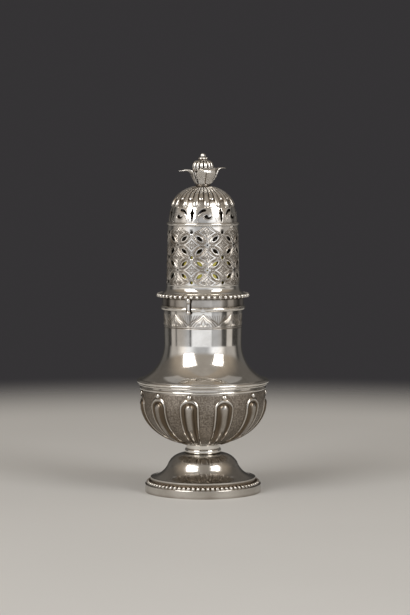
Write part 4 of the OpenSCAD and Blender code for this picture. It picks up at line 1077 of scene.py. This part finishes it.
def berry_cluster():
    """Ring of berries on the bud, each with small creases, leaning out from the knob."""
    ball, faces = lobed_ball(*BERRY_BALL)
    x, y, z = (ball * [BERRY_R, BERRY_R, BERRY_R * BERRY_LONG]).T
    c, s = math.cos(math.radians(BERRY_LEAN)), math.sin(math.radians(BERRY_LEAN))
    x, z = x * c + z * s + BERRY_RING, z * c - x * s + BERRY_Z
    # Painted shade: darker towards the bottom of each berry
    dark = np.clip(BERRY_DARK[0] - BERRY_DARK[1] * ball[:, 2], 0, 1)
    berry = np.stack([y, -x, z], -1)
    berries = repeated(berry, faces, dark, around(BERRIES, BERRY_AZIMUTH))
    piece("berry_cluster", berries, silver, "cover", ["finial_berries"])


def crowning_knob():
    """Lobed knob on the pin that runs down into the bud."""
    ball, faces = lobed_ball(*KNOB_BALL)
    knob = ball * [KNOB_R, KNOB_R, KNOB_H / 2] + [0, 0, KNOB_TOP - KNOB_H / 2]
    # Painted shade: darker towards the bottom of the knob
    dark = np.clip(KNOB_DARK[0] - KNOB_DARK[1] * ball[:, 2], 0, 1)
    pin = polar(np.array(PIN_R)[:, None], around(PIN_COLUMNS), np.array(PIN_Z)[:, None])
    row, last = np.arange(PIN_COLUMNS), (len(pin) - 1) * PIN_COLUMNS
    ends = [row.tolist(), (last + row).tolist()]
    parts = [(knob, faces, dark), (pin, quads(len(pin), PIN_COLUMNS) + ends, PIN_DARK)]
    piece("crowning_knob", joined(parts), silver, "cover", ["finial_tip"])


curled_leaves()
ribbed_bud()
berry_cluster()
crowning_knob()


# Stage, in metres apart from the camera's lens and sensor

CAMERA_LENS, CAMERA_SENSOR, CAMERA_PLACE, CAMERA_DOWN = 134.6, 36.0, (0.0012, -1.354, 0.2099), 4.26
CLIP_END = 20
# Soft boxes: azimuth, elevation and distance of the middle, width and height, watts
LIGHTS = (
    ("box_left", -43, 32, 1.5, (0.82, 0.95), 11.5),
    ("box_right", 48, 31, 1.5, (0.66, 0.8), 8.5),
    ("box_back", 180, 64, 1.6, (1.8, 0.8), 0.8),
)
LIGHT_COLOUR, LIGHT_AIM = (1.0, 0.99, 0.975), (0, 0, 0.11)
FLOOR_R, FLOOR_POINTS, FLOOR_MIDDLE, FLOOR_FADE = 0.9, 96, (0.0, -0.02, 0.0), (0.38, 0.68)
FLOOR_CLOUD, FLOOR_LOW, FLOOR_HIGH = (6, 2, 0.55), (0.62, 0.61, 0.59), (0.66, 0.65, 0.63)
FLOOR_ROUGH = 0.75
# Upright flats round the object, in a low and a high tier: azimuth of the middle, half width,
# soft edge, brightness
FLATS_LOW = ((-98, 9, 3, 0.46), (-62, 22, 3, 0.46), (-4, 30, 3, 0.95), (42, 15, 4, 0.46),
             (86, 11, 3, 0.6), (140, 14, 8, 0.14), (-140, 14, 8, 0.14))
FLATS_HIGH = ((-90, 20, 10, 0.45), (-50, 21, 12, 1.0), (-4, 24, 12, 0.48), (42, 21, 12, 1.25),
              (90, 22, 10, 0.4), (140, 14, 8, 0.12), (-140, 14, 8, 0.12))
# Limits of the tiers and of the ceiling, as directions from -1 to 1
TIER, CEILING_RISE, CEILING_BACK = (-0.1, -0.03), (0.17, 0.38), (-0.2, 0.5)
WALL_LEVEL, BACKDROP = 0.045, (0.036, 0.034, 0.036)
CEILING, CEILING_FAR = (0.36, 0.325, 0.28), (0.125, 0.121, 0.116)
FRONT_TINT, SIDE_TINT, TINT_TURN = (0.97, 0.99, 1.03), (1.0, 0.945, 0.885), (40, 70)


def camera():
    """Camera at the photograph's angle."""
    data = bpy.data.cameras.new("camera")
    data.lens, data.sensor_width, data.clip_end = CAMERA_LENS, CAMERA_SENSOR, CLIP_END
    made = scene.camera = shown("camera", data)
    made.location = CAMERA_PLACE
    made.rotation_euler = (math.radians(90 - CAMERA_DOWN), 0, 0)


def soft_boxes():
    """Soft boxes that look at the middle of the object."""
    for name, az, up, far, size, watts in LIGHTS:
        lamp = bpy.data.lights.new(name, "AREA")
        lamp.shape, lamp.size, lamp.size_y, lamp.energy = "RECTANGLE", *size, watts
        lamp.color = LIGHT_COLOUR
        made = shown(name, lamp)
        up = math.radians(up)
        outward = Vector(polar(math.cos(up), az, math.sin(up)))
        made.location = Vector(LIGHT_AIM) + outward * far
        made.rotation_mode = "QUATERNION"
        made.rotation_quaternion = outward.to_track_quat("Z", "Y")


def pale_floor():
    """Round pale floor that fades out into the backdrop."""
    mesh = bpy.data.meshes.new("floor")
    rim = polar(FLOOR_R, around(FLOOR_POINTS), 0.0)
    mesh.from_pydata(rim.tolist(), [], [list(range(FLOOR_POINTS))])
    floor = shown("floor", mesh)
    s = Shade("floor")
    colour = s.mix(s.noise(*FLOOR_CLOUD), FLOOR_LOW, FLOOR_HIGH)
    far = s.node("ShaderNodeVectorMath", {0: s.place, 1: FLOOR_MIDDLE}, operation="DISTANCE")
    fade = s.ease(far.outputs["Value"], *FLOOR_FADE, 1.0, 0.0)
    s.put(s.shader, {"Base Color": colour, "Roughness": FLOOR_ROUGH, "Alpha": fade})
    mesh.materials.append(s.made)


def studio():
    """Grey flats and a ceiling that the silver reflects, and a quiet backdrop behind it."""
    s = Shade("studio", world=True)
    scene.world = s.made
    x, y, z = s.split()
    turn = s.scaled(s.math("ARCTAN2", x, s.scaled(y, -1.0)), 180 / math.pi)

    def tier(flats):
        level = WALL_LEVEL
        for middle, half, soft, bright in flats:
            off = s.math("ABSOLUTE", s.math("SUBTRACT", turn, middle))
            flat = s.ease(off, half - soft, half + soft, bright - WALL_LEVEL, 0.0)
            level = s.math("ADD", level, flat)
        return level

    level = s.mix(s.ease(z, *TIER), tier(FLATS_LOW), tier(FLATS_HIGH))
    ceiling = s.mix(s.ease(y, *CEILING_BACK), CEILING, CEILING_FAR)
    level = s.mix(s.ease(z, *CEILING_RISE), level, ceiling)
    tint = s.mix(s.ease(s.math("ABSOLUTE", turn), *TINT_TURN), FRONT_TINT, SIDE_TINT)
    seen = s.node("ShaderNodeLightPath").outputs["Is Camera Ray"]
    light = s.mix(1.0, level, tint, blend_type="MULTIPLY")
    s.put(s.shader, {"Color": s.mix(seen, light, BACKDROP)})


camera()
soft_boxes()
pale_floor()
studio()
scene.view_settings.view_transform = "Standard"
